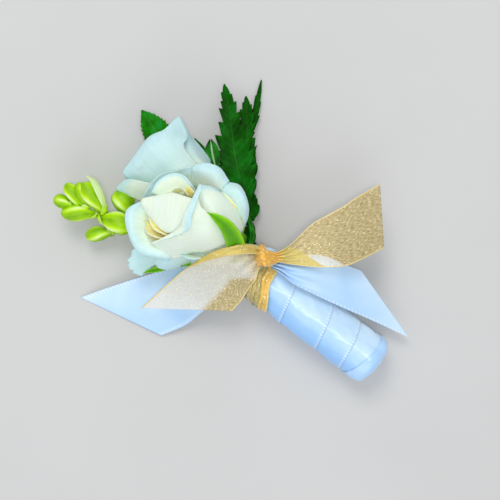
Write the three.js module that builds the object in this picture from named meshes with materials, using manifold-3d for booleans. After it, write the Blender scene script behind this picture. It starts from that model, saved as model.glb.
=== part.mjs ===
// Boutonniere lying on a table: two white roses, freesia, fern and leaves, bound and tied with ribbon.
// Millimetres, +Z up. The handle lies along Y, its cut end towards -Y and the flowers towards +Y.
import * as THREE from 'three';
import { mergeVertices } from 'three/addons/utils/BufferGeometryUtils.js';
import Module from 'manifold-3d';

const wasm = await Module();
wasm.setup();

// Handle: the bound stems, lying with the cut end down and the neck a little raised
const HANDLE_LENGTH = 56;
const HANDLE_RADIUS = 9;
const HANDLE_END_HEIGHT = 8.2;
const NECK_HEIGHT = 11.8;
const NECK_RADIUS = 8.2;
const WRAP_PITCH = 13;
const TAPE_RADIUS = 6.9;
const TAPE_WALL = 0.6;

// Sheets and clearances
const PETAL = 0.7;
const BLADE = 0.7;
const CLOTH = 0.6;
const GAP = 0.3;

// Front rose: half open, leaning up towards the viewer
const FRONT_ROSE = { base: [4.6, 13, 14.5], rise: 52, yaw: -8, scale: [0.92, 0.92, 0.92], far: 0.78 };

// Back rose: still a cup, lying low along the handle's direction
const BACK_ROSE = { base: [8.8, 27.6, 13], rise: 3, yaw: 9, scale: [0.86, 1, 0.84], far: 1 };

const handleHeight = (y) => NECK_HEIGHT + (y * (NECK_HEIGHT - HANDLE_END_HEIGHT)) / HANDLE_LENGTH;
const vec = (p) => new THREE.Vector3(...p);
const rad = THREE.MathUtils.degToRad;

// Solids: closed geometries joined and cut, with their faces turned outwards
function solid(geometry) {
  const shape = geometry.clone();
  shape.deleteAttribute('normal');
  shape.deleteAttribute('uv');
  const merged = mergeVertices(shape, 1e-4);
  const triVerts = new Uint32Array(merged.index.array);
  const corner = (k) => new THREE.Vector3().fromBufferAttribute(merged.attributes.position, triVerts[k]);
  let volume = 0;
  for (let k = 0; k < triVerts.length; k += 3) {
    volume += corner(k).dot(corner(k + 1).cross(corner(k + 2)));
  }
  if (volume < 0) triVerts.reverse();
  const vertProperties = new Float32Array(merged.attributes.position.array);
  return new wasm.Manifold(new wasm.Mesh({ numProp: 3, vertProperties, triVerts }));
}

function fuse(geometries) {
  return geometries.map(solid).reduce((whole, next) => whole.add(next));
}

// The largest body of a cut solid, without its loose scraps
function mainBody(cut) {
  return cut.decompose().sort((a, b) => b.volume() - a.volume())[0];
}

const belowFloor = solid(new THREE.BoxGeometry(300, 300, 20).translate(0, 0, -10));

function part(name, shape, color, roughness) {
  const mesh = mainBody(shape.subtract(belowFloor)).getMesh();
  const geometry = new THREE.BufferGeometry();
  geometry.setAttribute('position', new THREE.BufferAttribute(mesh.vertProperties, 3));
  geometry.setIndex(new THREE.BufferAttribute(mesh.triVerts, 1));
  geometry.computeVertexNormals();
  const material = new THREE.MeshStandardMaterial({ color, roughness, metalness: 0 });
  const made = new THREE.Mesh(geometry, material);
  made.name = name;
  return made;
}

// A closed sheet: the grid's rows of points, thickened to both sides, split alike on both faces
function thicken(grid, thickness) {
  const rows = grid.length;
  const columns = grid[0].length;
  const at = (j, i) => grid[Math.min(Math.max(j, 0), rows - 1)][Math.min(Math.max(i, 0), columns - 1)];
  const positions = [];
  for (const side of [0.5, -0.5]) {
    for (let j = 0; j < rows; j++) {
      for (let i = 0; i < columns; i++) {
        const across = at(j, i + 1).clone().sub(at(j, i - 1));
        const along = at(j + 1, i).clone().sub(at(j - 1, i));
        const offset = across.cross(along).normalize().multiplyScalar(side * thickness);
        positions.push(...at(j, i).clone().add(offset).toArray());
      }
    }
  }
  const back = rows * columns;
  const index = [];
  const quad = (a, b, c, d) => index.push(a, b, c, a, c, d);
  for (let j = 0; j + 1 < rows; j++) {
    for (let i = 0; i + 1 < columns; i++) {
      const a = j * columns + i;
      quad(a, a + 1, a + columns + 1, a + columns);
      index.push(back + a, back + a + columns + 1, back + a + 1);
      index.push(back + a, back + a + columns, back + a + columns + 1);
    }
  }
  for (let i = 0; i + 1 < columns; i++) {
    const top = (rows - 1) * columns + i;
    quad(i, back + i, back + i + 1, i + 1);
    quad(top, top + 1, back + top + 1, back + top);
  }
  for (let j = 0; j + 1 < rows; j++) {
    const left = j * columns;
    const right = left + columns - 1;
    quad(left, left + columns, back + left + columns, back + left);
    quad(right, back + right, back + right + columns, right + columns);
  }
  const geometry = new THREE.BufferGeometry();
  geometry.setAttribute('position', new THREE.Float32BufferAttribute(positions, 3));
  geometry.setIndex(index);
  return geometry;
}

// A closed skin over rings of points, each ring with the same number of them
function loft(rings) {
  const sides = rings[0].length;
  const last = (rings.length - 1) * sides;
  const index = [];
  for (let start = 0; start < last; start += sides) {
    for (let i = 0; i < sides; i++) {
      const a = start + i;
      const b = start + ((i + 1) % sides);
      index.push(a, b, b + sides, a, b + sides, a + sides);
    }
  }
  for (let i = 1; i + 1 < sides; i++) {
    index.push(0, i + 1, i, last, last + i, last + i + 1);
  }
  const geometry = new THREE.BufferGeometry();
  geometry.setAttribute('position', new THREE.Float32BufferAttribute(rings.flat().flat(), 3));
  geometry.setIndex(index);
  return geometry;
}

// A tapering round rod along a smooth curve through the points
function rod(points, radii, sides, steps) {
  const curve = new THREE.CatmullRomCurve3(points.map(vec));
  const frames = curve.computeFrenetFrames(steps);
  const radiusLine = new THREE.SplineCurve(radii.map((r, i) => new THREE.Vector2(i, r)));
  const rings = [];
  for (let j = 0; j <= steps; j++) {
    const centre = curve.getPointAt(j / steps);
    const radius = radiusLine.getPoint(j / steps).y;
    const ring = [];
    for (let i = 0; i < sides; i++) {
      const turn = (2 * Math.PI * i) / sides;
      const point = centre.clone().addScaledVector(frames.normals[j], radius * Math.cos(turn));
      ring.push(point.addScaledVector(frames.binormals[j], radius * Math.sin(turn)).toArray());
    }
    rings.push(ring);
  }
  return loft(rings);
}

// A round form from its [radius, height] profile, standing on `base` and pointing at `tip`
function turned(profile, sides, base, tip) {
  const axis = vec(tip).sub(vec(base)).normalize();
  const points = profile.map(([r, h]) => new THREE.Vector2(r, h));
  const geometry = new THREE.LatheGeometry(points, sides);
  geometry.applyQuaternion(new THREE.Quaternion().setFromUnitVectors(new THREE.Vector3(0, 1, 0), axis));
  return geometry.translate(...base);
}

// A rose's own frame: x towards the side that faces up, z along the bloom
function roseFrame({ base, rise, yaw, scale }) {
  const up = rad(rise);
  const aside = rad(yaw);
  const axis = new THREE.Vector3(Math.sin(aside) * Math.cos(up), Math.cos(aside) * Math.cos(up), Math.sin(up));
  const across = new THREE.Vector3(Math.cos(aside), -Math.sin(aside), 0);
  const near = across.clone().cross(axis);
  return new THREE.Matrix4().makeBasis(near, across, axis).scale(vec(scale)).setPosition(...base);
}

// A petal or sepal wrapped round the bloom. `path` is its middle line as [radius, height], `half` its
// half width, `lean` turns it further round the bloom towards its rim, `spiral` tucks one edge in and
// turns the other out, `cup` moves both edges out, `round` rounds the rim, `point` draws the rim out to
// a tip and `wave` ripples it. What lies beyond the axis is pressed in by the rose's `far`, as it leans
// on its neighbour.
function petal(rose, shape, columns, rows, thickness) {
  const frame = roseFrame(rose);
  const { turn, half, path, lean = 0, spiral = 0, cup = 0, round = 0.25 } = shape;
  const { point = 0, wave = 0, narrow = 0.35 } = shape;
  const line = new THREE.SplineCurve(path.map(([r, h]) => new THREE.Vector2(r, h)));
  const grid = [];
  for (let j = 0; j <= rows; j++) {
    const row = [];
    for (let i = 0; i <= columns; i++) {
      const u = (2 * i) / columns - 1;
      const v = (j / rows) * (1 - round * Math.abs(u) ** 2.5);
      const { x: radius, y: height } = line.getPoint(v);
      const width = half * (narrow + (1 - narrow) * Math.sin(Math.min(1, v / 0.7) * (Math.PI / 2)));
      const angle = rad(turn + lean * v) + (u * width) / Math.max(radius, 3);
      const ripple = wave * Math.sin(5 * u + turn) * v ** 3;
      const out = radius + spiral * u * v + cup * u * u * v + ripple;
      const lift = point * Math.max(0, 1 - 2 * Math.abs(u)) * v ** 4;
      const x = out * Math.cos(angle);
      const place = new THREE.Vector3(x < 0 ? x * rose.far : x, out * Math.sin(angle), height + lift);
      row.push(place.applyMatrix4(frame));
    }
    grid.push(row);
  }
  return thicken(grid, thickness);
}

// Petals of the front rose, outside first; turns are in degrees round the bloom from its upper side
const FRONT_PETALS = [
  { turn: -129, half: 8, path: [[3, 1], [11, 3], [20, 7.6], [29, 13], [37.5, 17]], round: 0.15, wave: 1 },
  { turn: -113, half: 10, path: [[3, 1], [8, 5], [13, 11], [18, 16.6], [22, 19], [24, 17.6]] },
  { turn: -148, half: 16, path: [[3, 1], [9, 7], [14, 15], [19, 24], [24.5, 32], [28, 33]], spiral: 1 },
  { turn: 142, half: 17, path: [[3, 1], [8, 8], [12, 18], [15.5, 26], [19, 32], [21.4, 34]], spiral: 1 },
  { turn: 70, half: 16, path: [[3, 1], [8, 7], [13, 14], [17, 20], [21, 24.5], [24, 24.5]], spiral: -1, wave: 0.6 },
  { turn: -18, half: 20, path: [[3, 1], [6, 5], [10, 12], [12, 20], [10.5, 29], [9, 34]], spiral: 1.5, cup: 1 },
];
const FRONT_HEART = [
  { turn: 60, half: 14, path: [[3, 1], [9, 8], [12, 18], [12.5, 27], [11.5, 33]], spiral: 1.4 },
  { turn: -176, half: 14, path: [[3, 1], [9, 8], [12, 18], [13.5, 27], [14, 34]], spiral: 1.4 },
  { turn: -66, half: 12, path: [[3, 1], [8, 8], [10.6, 18], [10.4, 28], [9, 33]], spiral: 1.2 },
  { turn: 70, half: 11, path: [[3, 1], [7, 10], [8, 20], [7.5, 29], [6.4, 34.6]], spiral: 1.4 },
  { turn: -150, half: 10, path: [[3, 1], [6, 10], [6.4, 20], [5.5, 29], [4.4, 35.5]], spiral: 1.4 },
  { turn: 0, half: 7, path: [[2.5, 1], [4, 10], [4, 20], [3.2, 29], [2.4, 35]], spiral: 0.8 },
];

// Petals of the back rose: a cup of broad petals, one drawn out to a point
const BACK_PETALS = [
  { turn: -12, half: 18, path: [[3, 1], [6.6, 6], [10.4, 14], [13.6, 24], [14.6, 32], [15, 37]], round: 0.06 },
  { turn: -84, half: 8, path: [[3, 1], [6.5, 6], [11, 14], [15, 23], [18, 29], [20, 32]], round: 0.4 },
  { turn: 160, half: 17, path: [[3, 1], [6, 6], [9.5, 14], [12.4, 24], [13.6, 32], [14, 35]], spiral: 0.8 },
  { turn: 74, half: 13, path: [[3, 1], [6, 6], [9.4, 14], [12.4, 24], [13.6, 31], [14, 34]], point: 3 },
];
const BACK_HEART = [
  { turn: 0, half: 11, path: [[2.5, 1], [6, 8], [8.5, 18], [9, 28], [6.5, 34]], spiral: 1.2 },
  { turn: 120, half: 11, path: [[2.5, 1], [6, 8], [8.4, 18], [8.5, 28], [6, 34.5]], spiral: 1.2 },
  { turn: 40, half: 7, path: [[2, 1], [4.5, 10], [4.6, 20], [3.6, 29], [2.4, 34]], spiral: 0.8 },
];
const HEART_CORE = [[0, 0.6], [3.4, 1.2], [5, 6], [4.4, 12], [0, 18]];

function rosePetals(rose, outer, heart) {
  const frame = roseFrame(rose);
  const core = new THREE.LatheGeometry(HEART_CORE.map(([r, h]) => new THREE.Vector2(r, h)), 10);
  core.rotateX(Math.PI / 2).applyMatrix4(frame);
  const sheets = outer.map((shape) => petal(rose, shape, 6, 5, PETAL));
  heart.forEach((shape) => sheets.push(petal(rose, shape, 4, 4, PETAL)));
  return fuse([core, ...sheets]);
}

// Hip, sepals and stem of a rose. `grow` swells them, to cut the petals clear of them.
const HIP = [[0, -8], [1.9, -7.6], [3.4, -5], [3.9, -2], [3.5, -0.2], [0, 0.2]];
const FRONT_SEPALS = [
  { turn: -12, lean: 42, half: 2.8, path: [[3.4, -1.5], [7, 3], [11.4, 9], [14, 17], [14.4, 25], [12.4, 33]] },
  { turn: -78, half: 2.6, path: [[3.4, -1.5], [8, 0.6], [13, 4.6], [17, 8.6]] },
  { turn: -120, half: 2.6, path: [[3.4, -1.5], [9, 1.2], [17, 4.6], [24, 8], [28, 9.4]] },
  { turn: 112, half: 2.8, path: [[3.4, -1.5], [6, 0], [9, 4], [12, 9]] },
  { turn: 168, half: 2.2, path: [[3.4, -1.5], [4.2, 0.8], [5.4, 4]] },
];
const BACK_SEPALS = [-150, -78, -6, 66, 138].map((turn) => (
  { turn, half: 2.8, path: [[3.4, -1.5], [5, 0.4], [7.6, 5], [9.6, 10]] }
));

function roseGreen(rose, sepals, stem, stemRadius, grow) {
  const frame = roseFrame(rose);
  const profile = HIP.map(([r, h]) => new THREE.Vector2(r > 0 ? r + grow : 0, h + Math.sign(h) * grow));
  const hip = new THREE.LatheGeometry(profile, 10);
  hip.rotateX(Math.PI / 2).applyMatrix4(frame);
  const leaves = sepals.map((sepal) => {
    const shape = { round: 0.3, narrow: 0.7, point: 1, ...sepal, half: sepal.half + grow };
    return petal(rose, shape, 2, 5, BLADE + 2 * grow);
  });
  const foot = new THREE.Vector3(0, 0, -6.5).applyMatrix4(frame).toArray();
  const radius = stemRadius + grow;
  return fuse([hip, ...leaves, rod([...stem, foot], [radius, radius], 8, 12)]);
}

// A leaf blade from `base` to `tip` with toothed edges, its rib sunk by `keel` and its edges drooping
function toothedLeaf({ base, tip, half, teeth, depth = 0.3, droop = 1, bow = 0, columns = 4, swell = 0.42 }) {
  const start = vec(base);
  const along = vec(tip).sub(start);
  const across = new THREE.Vector3(along.y, -along.x, 0).normalize();
  const grid = [];
  const rows = 2 * teeth + 1;
  for (let j = 0; j <= rows; j++) {
    const t = j / rows;
    const outline = half * Math.sin(Math.PI * t ** (Math.log(0.5) / Math.log(swell))) ** 0.8;
    const tooth = j % 2 === 1 ? 1 + depth : 1 - depth * 0.4;
    const row = [];
    for (let i = 0; i <= columns; i++) {
      const u = (2 * i) / columns - 1;
      const edge = Math.abs(u) === 1;
      const width = Math.max(0.35, outline * (edge ? tooth : 1));
      const forward = edge && j % 2 === 1 && j < rows ? 0.5 / rows : 0;
      const place = start.clone().addScaledVector(along, t + forward).addScaledVector(across, u * width);
      place.z += bow * Math.sin(Math.PI * t) - droop * Math.abs(u) * Math.sin(Math.PI * t);
      row.push(place);
    }
    grid.push(row);
  }
  return thicken(grid, BLADE);
}

// Fern: rachis with toothed pinnae to both sides and three pointed tips
const FERN_RACHIS = [[9.6, 8.6, 12.2], [12.2, 11, 10.2], [14, 16, 6.8], [23.1, 24.4, 6], [31, 33, 6.4], [38, 41, 6.6]];
const PINNAE = [
  { base: [21, 22, 6], tip: [46.7, 49.6, 6], half: 5.6, teeth: 7, depth: 0.34 },
  { base: [24, 24, 5.4], tip: [48.5, 40.7, 4.2], half: 4.6, teeth: 6 },
  { base: [33, 31, 4], tip: [56.7, 40.6, 0.3], half: 2.8, teeth: 4 },
  { base: [25, 26, 6], tip: [29.6, 40.6, 6.4], half: 3.6, teeth: 3 },
  { base: [21, 22.5, 5.8], tip: [25, 37, 4.6], half: 3.6, teeth: 3 },
  { base: [27, 27.5, 5], tip: [40, 30, 2.6], half: 3.8, teeth: 3 },
  { base: [22, 23, 5], tip: [33.6, 23.4, 2.2], half: 3.8, teeth: 3 },
  { base: [16.6, 18, 5.6], tip: [27.4, 18.4, 2.2], half: 3.6, teeth: 3 },
  { base: [12.4, 14, 6.6], tip: [21.6, 14.4, 2.6], half: 3.4, teeth: 3 },
  { base: [11, 9.6, 10.8], tip: [17, 10.4, 7], half: 2.8, teeth: 3 },
];

function fern(stem) {
  const rachis = rod([...stem, ...FERN_RACHIS], [1.1, 1.1, 1, 0.8, 0.6], 6, 16);
  return fuse([rachis, ...PINNAE.map((leaf) => toothedLeaf({ columns: 2, droop: 0.8, ...leaf }))]);
}

// Freesia: buds along a wiry stem, each a pointed oval in a short bract
const FREESIA_BUDS = [
  { base: [-21.6, 66.4, 12], tip: [-22.3, 74, 13], radius: 1.9 },
  { base: [-20.8, 65, 12.4], tip: [-16.2, 73, 14], radius: 2.2 },
  { base: [-17.8, 57.6, 12.4], tip: [-13.8, 70, 16], radius: 2.9 },
  { base: [-17.2, 57, 12.4], tip: [-10.6, 66.6, 15], radius: 3.3 },
  { base: [-18.2, 56.5, 11.6], tip: [-25.8, 67.4, 11.6], radius: 2.7 },
  { base: [-17, 55, 11], tip: [-15.4, 42.6, 12.4], radius: 3.3 },
  { base: [-16.6, 47, 8.2], tip: [-27.6, 56.4, 6.4], radius: 2.8 },
  { base: [-13.4, 43.2, 7.8], tip: [-6.6, 59, 9.6], radius: 3.2 },
];
const BUD_PROFILE = [[0, 0], [0.62, 0.06], [1, 0.34], [0.92, 0.6], [0.5, 0.86], [0, 1]];
const BRACT_PROFILE = [[0, -0.05], [0.8, 0.04], [1.06, 0.28], [0, 0.31]];
const FREESIA_STEM = [[-5.4, 12, 8.4], [-8.6, 22, 6], [-12, 36, 6.4], [-16, 50, 9.4], [-19, 59, 11.4], [-21.6, 67, 12.2]];

function freesia(stem) {
  const buds = FREESIA_BUDS.flatMap(({ base, tip, radius }) => {
    const length = vec(base).distanceTo(vec(tip));
    const scaled = (profile) => profile.map(([r, h]) => [r * radius, h * length]);
    return [BUD_PROFILE, BRACT_PROFILE].map((profile) => turned(scaled(profile), 7, base, tip));
  });
  return fuse([rod([...stem, ...FREESIA_STEM], [1.2, 1.1, 1, 0.9, 0.8], 6, 22), ...buds]);
}

// Stems inside the handle: the sideways and upward offset of each from the handle's axis
const stemIn = (x, up) => [2.2 - HANDLE_LENGTH, -26, 5].map((y) => [x, y, handleHeight(y) + up]);

// Rose leaf and the sprig of two small leaves
function roseLeaf() {
  const stalk = rod([...stemIn(-0.7, -5.2), [1, 14, 2.8], [6.6, 28, 1.7], [11.6, 38.6, 1.2]], [0.8, 0.8, 0.7], 6, 16);
  const blade = { base: [11, 37.4, 1], tip: [21.7, 69, 0.5], half: 6.6, teeth: 8, depth: 0.1, droop: 0.7, bow: 0.3 };
  return fuse([stalk, toothedLeaf(blade)]);
}

const SMALL_LEAF = { teeth: 3, depth: 0, droop: 0.5, columns: 2 };

function smallLeaves() {
  const stalk = rod([...stemIn(1.6, 4.6), [6.4, 6.8, 17], [12, 11, 14.4], [17.4, 22, 10.4], [21.4, 32.6, 7.8]], [0.7, 0.7, 0.6], 6, 14);
  const left = { base: [21, 31.4, 8], tip: [26.3, 46, 9], half: 2.6, ...SMALL_LEAF };
  const right = { base: [21.4, 32, 7.2], tip: [28.6, 42, 8.6], half: 2.7, ...SMALL_LEAF };
  return fuse([stalk, toothedLeaf(left), toothedLeaf(right)]);
}

// Handle: tape sleeve and ribbon wrap, drawn upright along Y and laid on the sloping axis
function layOnAxis(geometry) {
  const slope = Math.atan2(NECK_HEIGHT - HANDLE_END_HEIGHT, HANDLE_LENGTH);
  return geometry.rotateX(slope).translate(0, 0, NECK_HEIGHT);
}

function ring(profile, sides) {
  return layOnAxis(new THREE.LatheGeometry(profile.map(([r, y]) => new THREE.Vector2(r, y)), sides));
}

function tape() {
  const inner = TAPE_RADIUS - TAPE_WALL;
  const end = 2 - HANDLE_LENGTH;
  return solid(ring([[inner, end], [TAPE_RADIUS, end], [TAPE_RADIUS, 4], [inner, 4], [inner, end]], 16));
}

const wrapRadius = (y) => {
  const taper = THREE.MathUtils.smoothstep(y, -20, -10);
  return THREE.MathUtils.lerp(HANDLE_RADIUS, NECK_RADIUS, taper);
};

// One ribbon wound up the handle: the lower edge of each turn stands proud of the turn before it
const WRAP_SEAM = 0.3;
const WRAP_STEP = 0.4;
const WRAP_ROOT = 0.85;

function winding() {
  const perTurn = 12;
  const width = WRAP_PITCH - WRAP_SEAM;
  const steps = Math.round((perTurn * (HANDLE_LENGTH + 2 * width)) / WRAP_PITCH);
  const corners = [[0, 0], [width, WRAP_STEP], [width, WRAP_ROOT], [0, WRAP_ROOT]];
  const rings = [];
  for (let k = 0; k <= steps; k++) {
    const turn = (2 * Math.PI * k) / perTurn;
    const low = (WRAP_PITCH * k) / perTurn - HANDLE_LENGTH - width;
    rings.push(corners.map(([up, sunk]) => {
      const radius = wrapRadius(low + up) - sunk;
      return [radius * Math.sin(turn), low + up, radius * Math.cos(turn)];
    }));
  }
  return layOnAxis(loft(rings));
}

function satinWrap() {
  const end = -HANDLE_LENGTH;
  const bore = TAPE_RADIUS + GAP;
  const under = 0.6;
  const wall = [
    [0, end], [HANDLE_RADIUS - 2.6, end], [HANDLE_RADIUS - under, end + 2],
    [HANDLE_RADIUS - under, -20], [NECK_RADIUS - under, -10], [NECK_RADIUS - under, 3.6],
    [bore, 3.6], [bore, end + 1.6], [0, end + 1.6],
  ];
  const outside = [
    [0, end], [HANDLE_RADIUS - 2.4, end], [HANDLE_RADIUS - 0.5, end + 1.2], [HANDLE_RADIUS + 0.1, end + 4],
    [HANDLE_RADIUS + 0.1, 3.6], [0, 3.6],
  ];
  return solid(ring(wall, 12)).add(solid(winding())).intersect(solid(ring(outside, 12)));
}

// Ribbon ties: a band round the neck, a knot and two tails, each tail ruled between its two edges
function tail(edges, gathers, grow) {
  const [left, right] = edges.map((points) => new THREE.CatmullRomCurve3(points.map(vec)));
  const rows = 7;
  const columns = 6;
  const grid = [];
  for (let j = 0; j <= rows; j++) {
    const t = j / rows;
    const row = [];
    for (let i = 0; i <= columns; i++) {
      const u = i / columns;
      const place = left.getPointAt(t).lerp(right.getPointAt(t), u);
      place.z += gathers * (1 - t) ** 2 * Math.sin(5 * Math.PI * u);
      row.push(place);
    }
    grid.push(row);
  }
  return thicken(grid, CLOTH + 2 * grow);
}

// The knot's crossing strap, bunched thick in its middle
function knot(points, thick, grow) {
  return rod(points, [1.3, thick, thick, 1.3].map((r) => r + grow), 10, 8);
}

const SATIN_TAILS = [
  [[[7, 4, 20.8], [-1.6, 7, 20.4], [-6, 11, 15.4], [-12.6, 20.7, 10.6], [-26.3, 31, 6.6], [-46.2, 44.6, 0.5]],
    [[6.6, 1.6, 20.8], [2, 0.8, 21.6], [-3, -0.4, 21.2], [-10, 0.4, 17], [-20.9, 3.2, 10], [-38.9, 12.6, 0.4]]],
  [[[10.6, 3.4, 19.6], [13.8, -2, 19.4], [16.6, -8.4, 17], [20.3, -18.4, 12], [23.9, -30.1, 4]],
    [[10, 2.2, 21.2], [10.6, -2, 22.2], [8, -7, 22.6], [6.4, -11.6, 21.8], [9.8, -31.6, 15], [15.2, -59.2, 5]]],
];
const ORGANZA_TAILS = [
  [[[6.6, 1.4, 24.2], [5.4, 7.4, 26], [0.4, 11.6, 28.4], [-7.4, 15.4, 30.2], [-21, 20.7, 22.6], [-33.3, 21.6, 11.5]],
    [[4.6, -1.4, 24.2], [-2, -2, 23.8], [-9.1, -3.5, 20], [-15.5, -3.5, 14.5]]],
  [[[8, 0.4, 24], [15.5, -5.8, 24], [27.8, -7.4, 22.6], [39.5, -11.7, 21], [51.8, -16.5, 18]],
    [[6.8, -2.6, 24], [12.1, -10.5, 24.8], [17.1, -19.9, 24], [24.4, -26, 22], [33.4, -31.9, 18]]],
];
const SATIN_KNOT = [[4.4, 1.8, 20], [7.4, 3, 20.6], [9.6, 3.2, 18.8], [10, 2.8, 15.4]];
const ORGANZA_KNOT = [[1.2, -6, 21.6], [3.6, -3.6, 23.8], [6.2, -1.8, 24.2], [8, -1, 21.8], [8.4, -1, 19.6]];

// Band gathered round the neck with `folds` ridges, slanting up to the knot at the right
const BAND_SLANT = 0.32;

function band(inner, outer, from, to, folds, slant) {
  const profile = [[inner, from]];
  for (let k = 0; k <= 2 * folds; k++) {
    profile.push([outer + (k % 2 === 1 ? 0.35 : 0), from + ((to - from) * k) / (2 * folds)]);
  }
  profile.push([inner, to], [inner, from]);
  const skew = new THREE.Matrix4().makeShear(slant, 0, 0, 0, 0, 0);
  return ring(profile, 18).applyMatrix4(skew);
}

function satinTie() {
  const strips = SATIN_TAILS.map((edges) => tail(edges, 0.5, 0));
  const round = band(NECK_RADIUS + GAP, NECK_RADIUS + GAP + CLOTH, -6, 1.4, 1, BAND_SLANT);
  return fuse([round, knot(SATIN_KNOT, 1.9, 0), ...strips]);
}

function organzaTie(grow) {
  const inner = NECK_RADIUS + 2 * GAP + CLOTH + 0.4;
  const strips = ORGANZA_TAILS.map((edges) => tail(edges, 0.6, grow));
  const round = band(inner - grow, inner + CLOTH + grow, -7 - grow, -0.9 + grow, 3, BAND_SLANT);
  return fuse([round, knot(ORGANZA_KNOT, 2.4, grow), ...strips]);
}

// Stems, each from the cut end through the neck and out to its flower or leaf
const FRONT_STEM = stemIn(2.4, -2.7);
const BACK_STEM = [...stemIn(-2.6, -3), [-0.8, 11.6, 7.6], [3.6, 16.6, 9.6]];
const FREESIA_START = stemIn(-4.3, 1.5);
const FERN_START = stemIn(4.4, 1.2);

const frontGreen = roseGreen(FRONT_ROSE, FRONT_SEPALS, FRONT_STEM, 2.1, 0);
const backGreen = roseGreen(BACK_ROSE, BACK_SEPALS, BACK_STEM, 1.9, 0);
const frontPetals = rosePetals(FRONT_ROSE, FRONT_PETALS, FRONT_HEART);
const backPetals = rosePetals(BACK_ROSE, BACK_PETALS, BACK_HEART);

const boutonniere = new THREE.Group();
boutonniere.add(
  part(
    'front_rose_petals',
    frontPetals.subtract(roseGreen(FRONT_ROSE, FRONT_SEPALS, FRONT_STEM, 2.1, GAP)),
    0xf4f3e6,
    0.6,
  ),
  part('front_rose_green', frontGreen, 0x7fb52a, 0.5),
  part(
    'back_rose_petals',
    backPetals.subtract(roseGreen(BACK_ROSE, BACK_SEPALS, BACK_STEM, 1.9, GAP)),
    0xeef3ee,
    0.6,
  ),
  part('back_rose_green', backGreen, 0x7fb52a, 0.5),
  part('freesia_spray', freesia(FREESIA_START), 0xa5cf2e, 0.45),
  part('fern_frond', fern(FERN_START), 0x17691a, 0.5),
  part('rose_leaf', roseLeaf(), 0x2d8421, 0.45),
  part('small_leaf_sprig', smallLeaves(), 0x2c7a22, 0.45),
  part('floral_tape', tape(), 0x4d7a3a, 0.8),
  part('satin_wrap', satinWrap(), 0xe4eef8, 0.35),
  part('satin_tie', satinTie().subtract(organzaTie(GAP)), 0xe4eef8, 0.35),
  part('organza_tie', organzaTie(0), 0xd9ab45, 0.4),
);

// The origin is under the middle of the whole, on the table
const box = new THREE.Box3().setFromObject(boutonniere);
const middle = box.getCenter(new THREE.Vector3());
boutonniere.position.set(-middle.x, -middle.y, -box.min.z);

export default boutonniere;
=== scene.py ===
"""A white rose and freesia boutonniere, lying on a pale table and seen from above."""

import math
from functools import partial
from types import SimpleNamespace

import bmesh
import bpy
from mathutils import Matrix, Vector, noise


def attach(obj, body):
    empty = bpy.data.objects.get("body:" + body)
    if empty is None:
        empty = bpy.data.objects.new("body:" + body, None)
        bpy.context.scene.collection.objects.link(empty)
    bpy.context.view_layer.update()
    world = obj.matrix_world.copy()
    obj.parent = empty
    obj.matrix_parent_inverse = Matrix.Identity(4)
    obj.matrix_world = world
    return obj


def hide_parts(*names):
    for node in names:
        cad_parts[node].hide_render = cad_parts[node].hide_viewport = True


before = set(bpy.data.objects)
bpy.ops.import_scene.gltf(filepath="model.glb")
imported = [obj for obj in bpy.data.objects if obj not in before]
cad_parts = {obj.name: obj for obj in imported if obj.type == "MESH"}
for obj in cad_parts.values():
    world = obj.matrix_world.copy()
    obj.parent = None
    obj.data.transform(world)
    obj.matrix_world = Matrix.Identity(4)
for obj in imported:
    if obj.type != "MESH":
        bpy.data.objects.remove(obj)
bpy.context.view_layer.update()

MM = 0.001
TAU = 2 * math.pi

# The photograph: its camera stands over the spray, turned so that the handle runs to the lower right
EYE = (-0.16, -1.33)
EYE_HEIGHT = 430.0
PICTURE = 500
FOCAL_PIXELS = 1166.7
PICTURE_TURN = math.radians(37.5)

# The knot's place; lengths along the handle and the ribbons are measured from it
KNOT = (-5.27, -7.38)

# Handle: the bound stems, lying with the cut end down and the neck a little raised
HANDLE_LENGTH = 56
HANDLE_RADIUS = 9.0
HANDLE_END_HEIGHT = 8.2
NECK_HEIGHT = 11.8
NECK_RADIUS = 8.2
RIBBON_WIDTH = 22.0
FLAT_SPOT = 1.0

# Thicknesses, in millimetres
PETAL = 0.24
BLADE = 0.4
CLOTH = 0.25

# Points closer together than this, in metres, are one
SEAM = 1e-6


def from_knot(point):
    """A point in millimetres from the knot, in metres in the part's frame."""
    x, y, z = point
    return Vector((x + KNOT[0], y + KNOT[1], z)) * MM


def seen(point):
    """A point given as its place in the photograph, in pixels, and its height in millimetres."""
    u, v, z = point
    scale = (EYE_HEIGHT - z) / FOCAL_PIXELS
    across = scale * (u - PICTURE / 2)
    down = scale * (v - PICTURE / 2)
    x = EYE[0] + math.sin(PICTURE_TURN) * across - math.cos(PICTURE_TURN) * down
    y = EYE[1] - math.cos(PICTURE_TURN) * across - math.sin(PICTURE_TURN) * down
    return Vector((x, y, z)) * MM


# Shapes


def through(points, t):
    """The value at t, from 0 to 1, of a smooth line through points or numbers."""
    last = len(points) - 1
    place = min(max(t, 0), 1) * last
    k = min(int(place), last - 1)
    f = place - k
    b, c = points[k], points[k + 1]
    a = points[k - 1] if k > 0 else 2 * b - c
    d = points[k + 2] if k + 2 <= last else 2 * c - b
    bend = (2 * a - 5 * b + 4 * c - d) * f * f + (3 * b - a - 3 * c + d) * f * f * f
    return 0.5 * (2 * b + (c - a) * f + bend)


def over_net(net, u, v):
    """The point of a smooth surface through rows of points: u runs along a row, v from row to row."""
    return through([through(row, u) for row in net], v)


def heading(points, t, step):
    """The direction of a smooth line at t, measured a step to either side."""
    return (through(points, min(1, t + step)) - through(points, max(0, t - step))).normalized()


def around(one, other, turn):
    """The direction at a turn, in radians, from one direction towards another."""
    return one * math.cos(turn) + other * math.sin(turn)


def held(number):
    """The number, held between 0 and 1."""
    return min(1.0, max(0.0, number))


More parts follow.
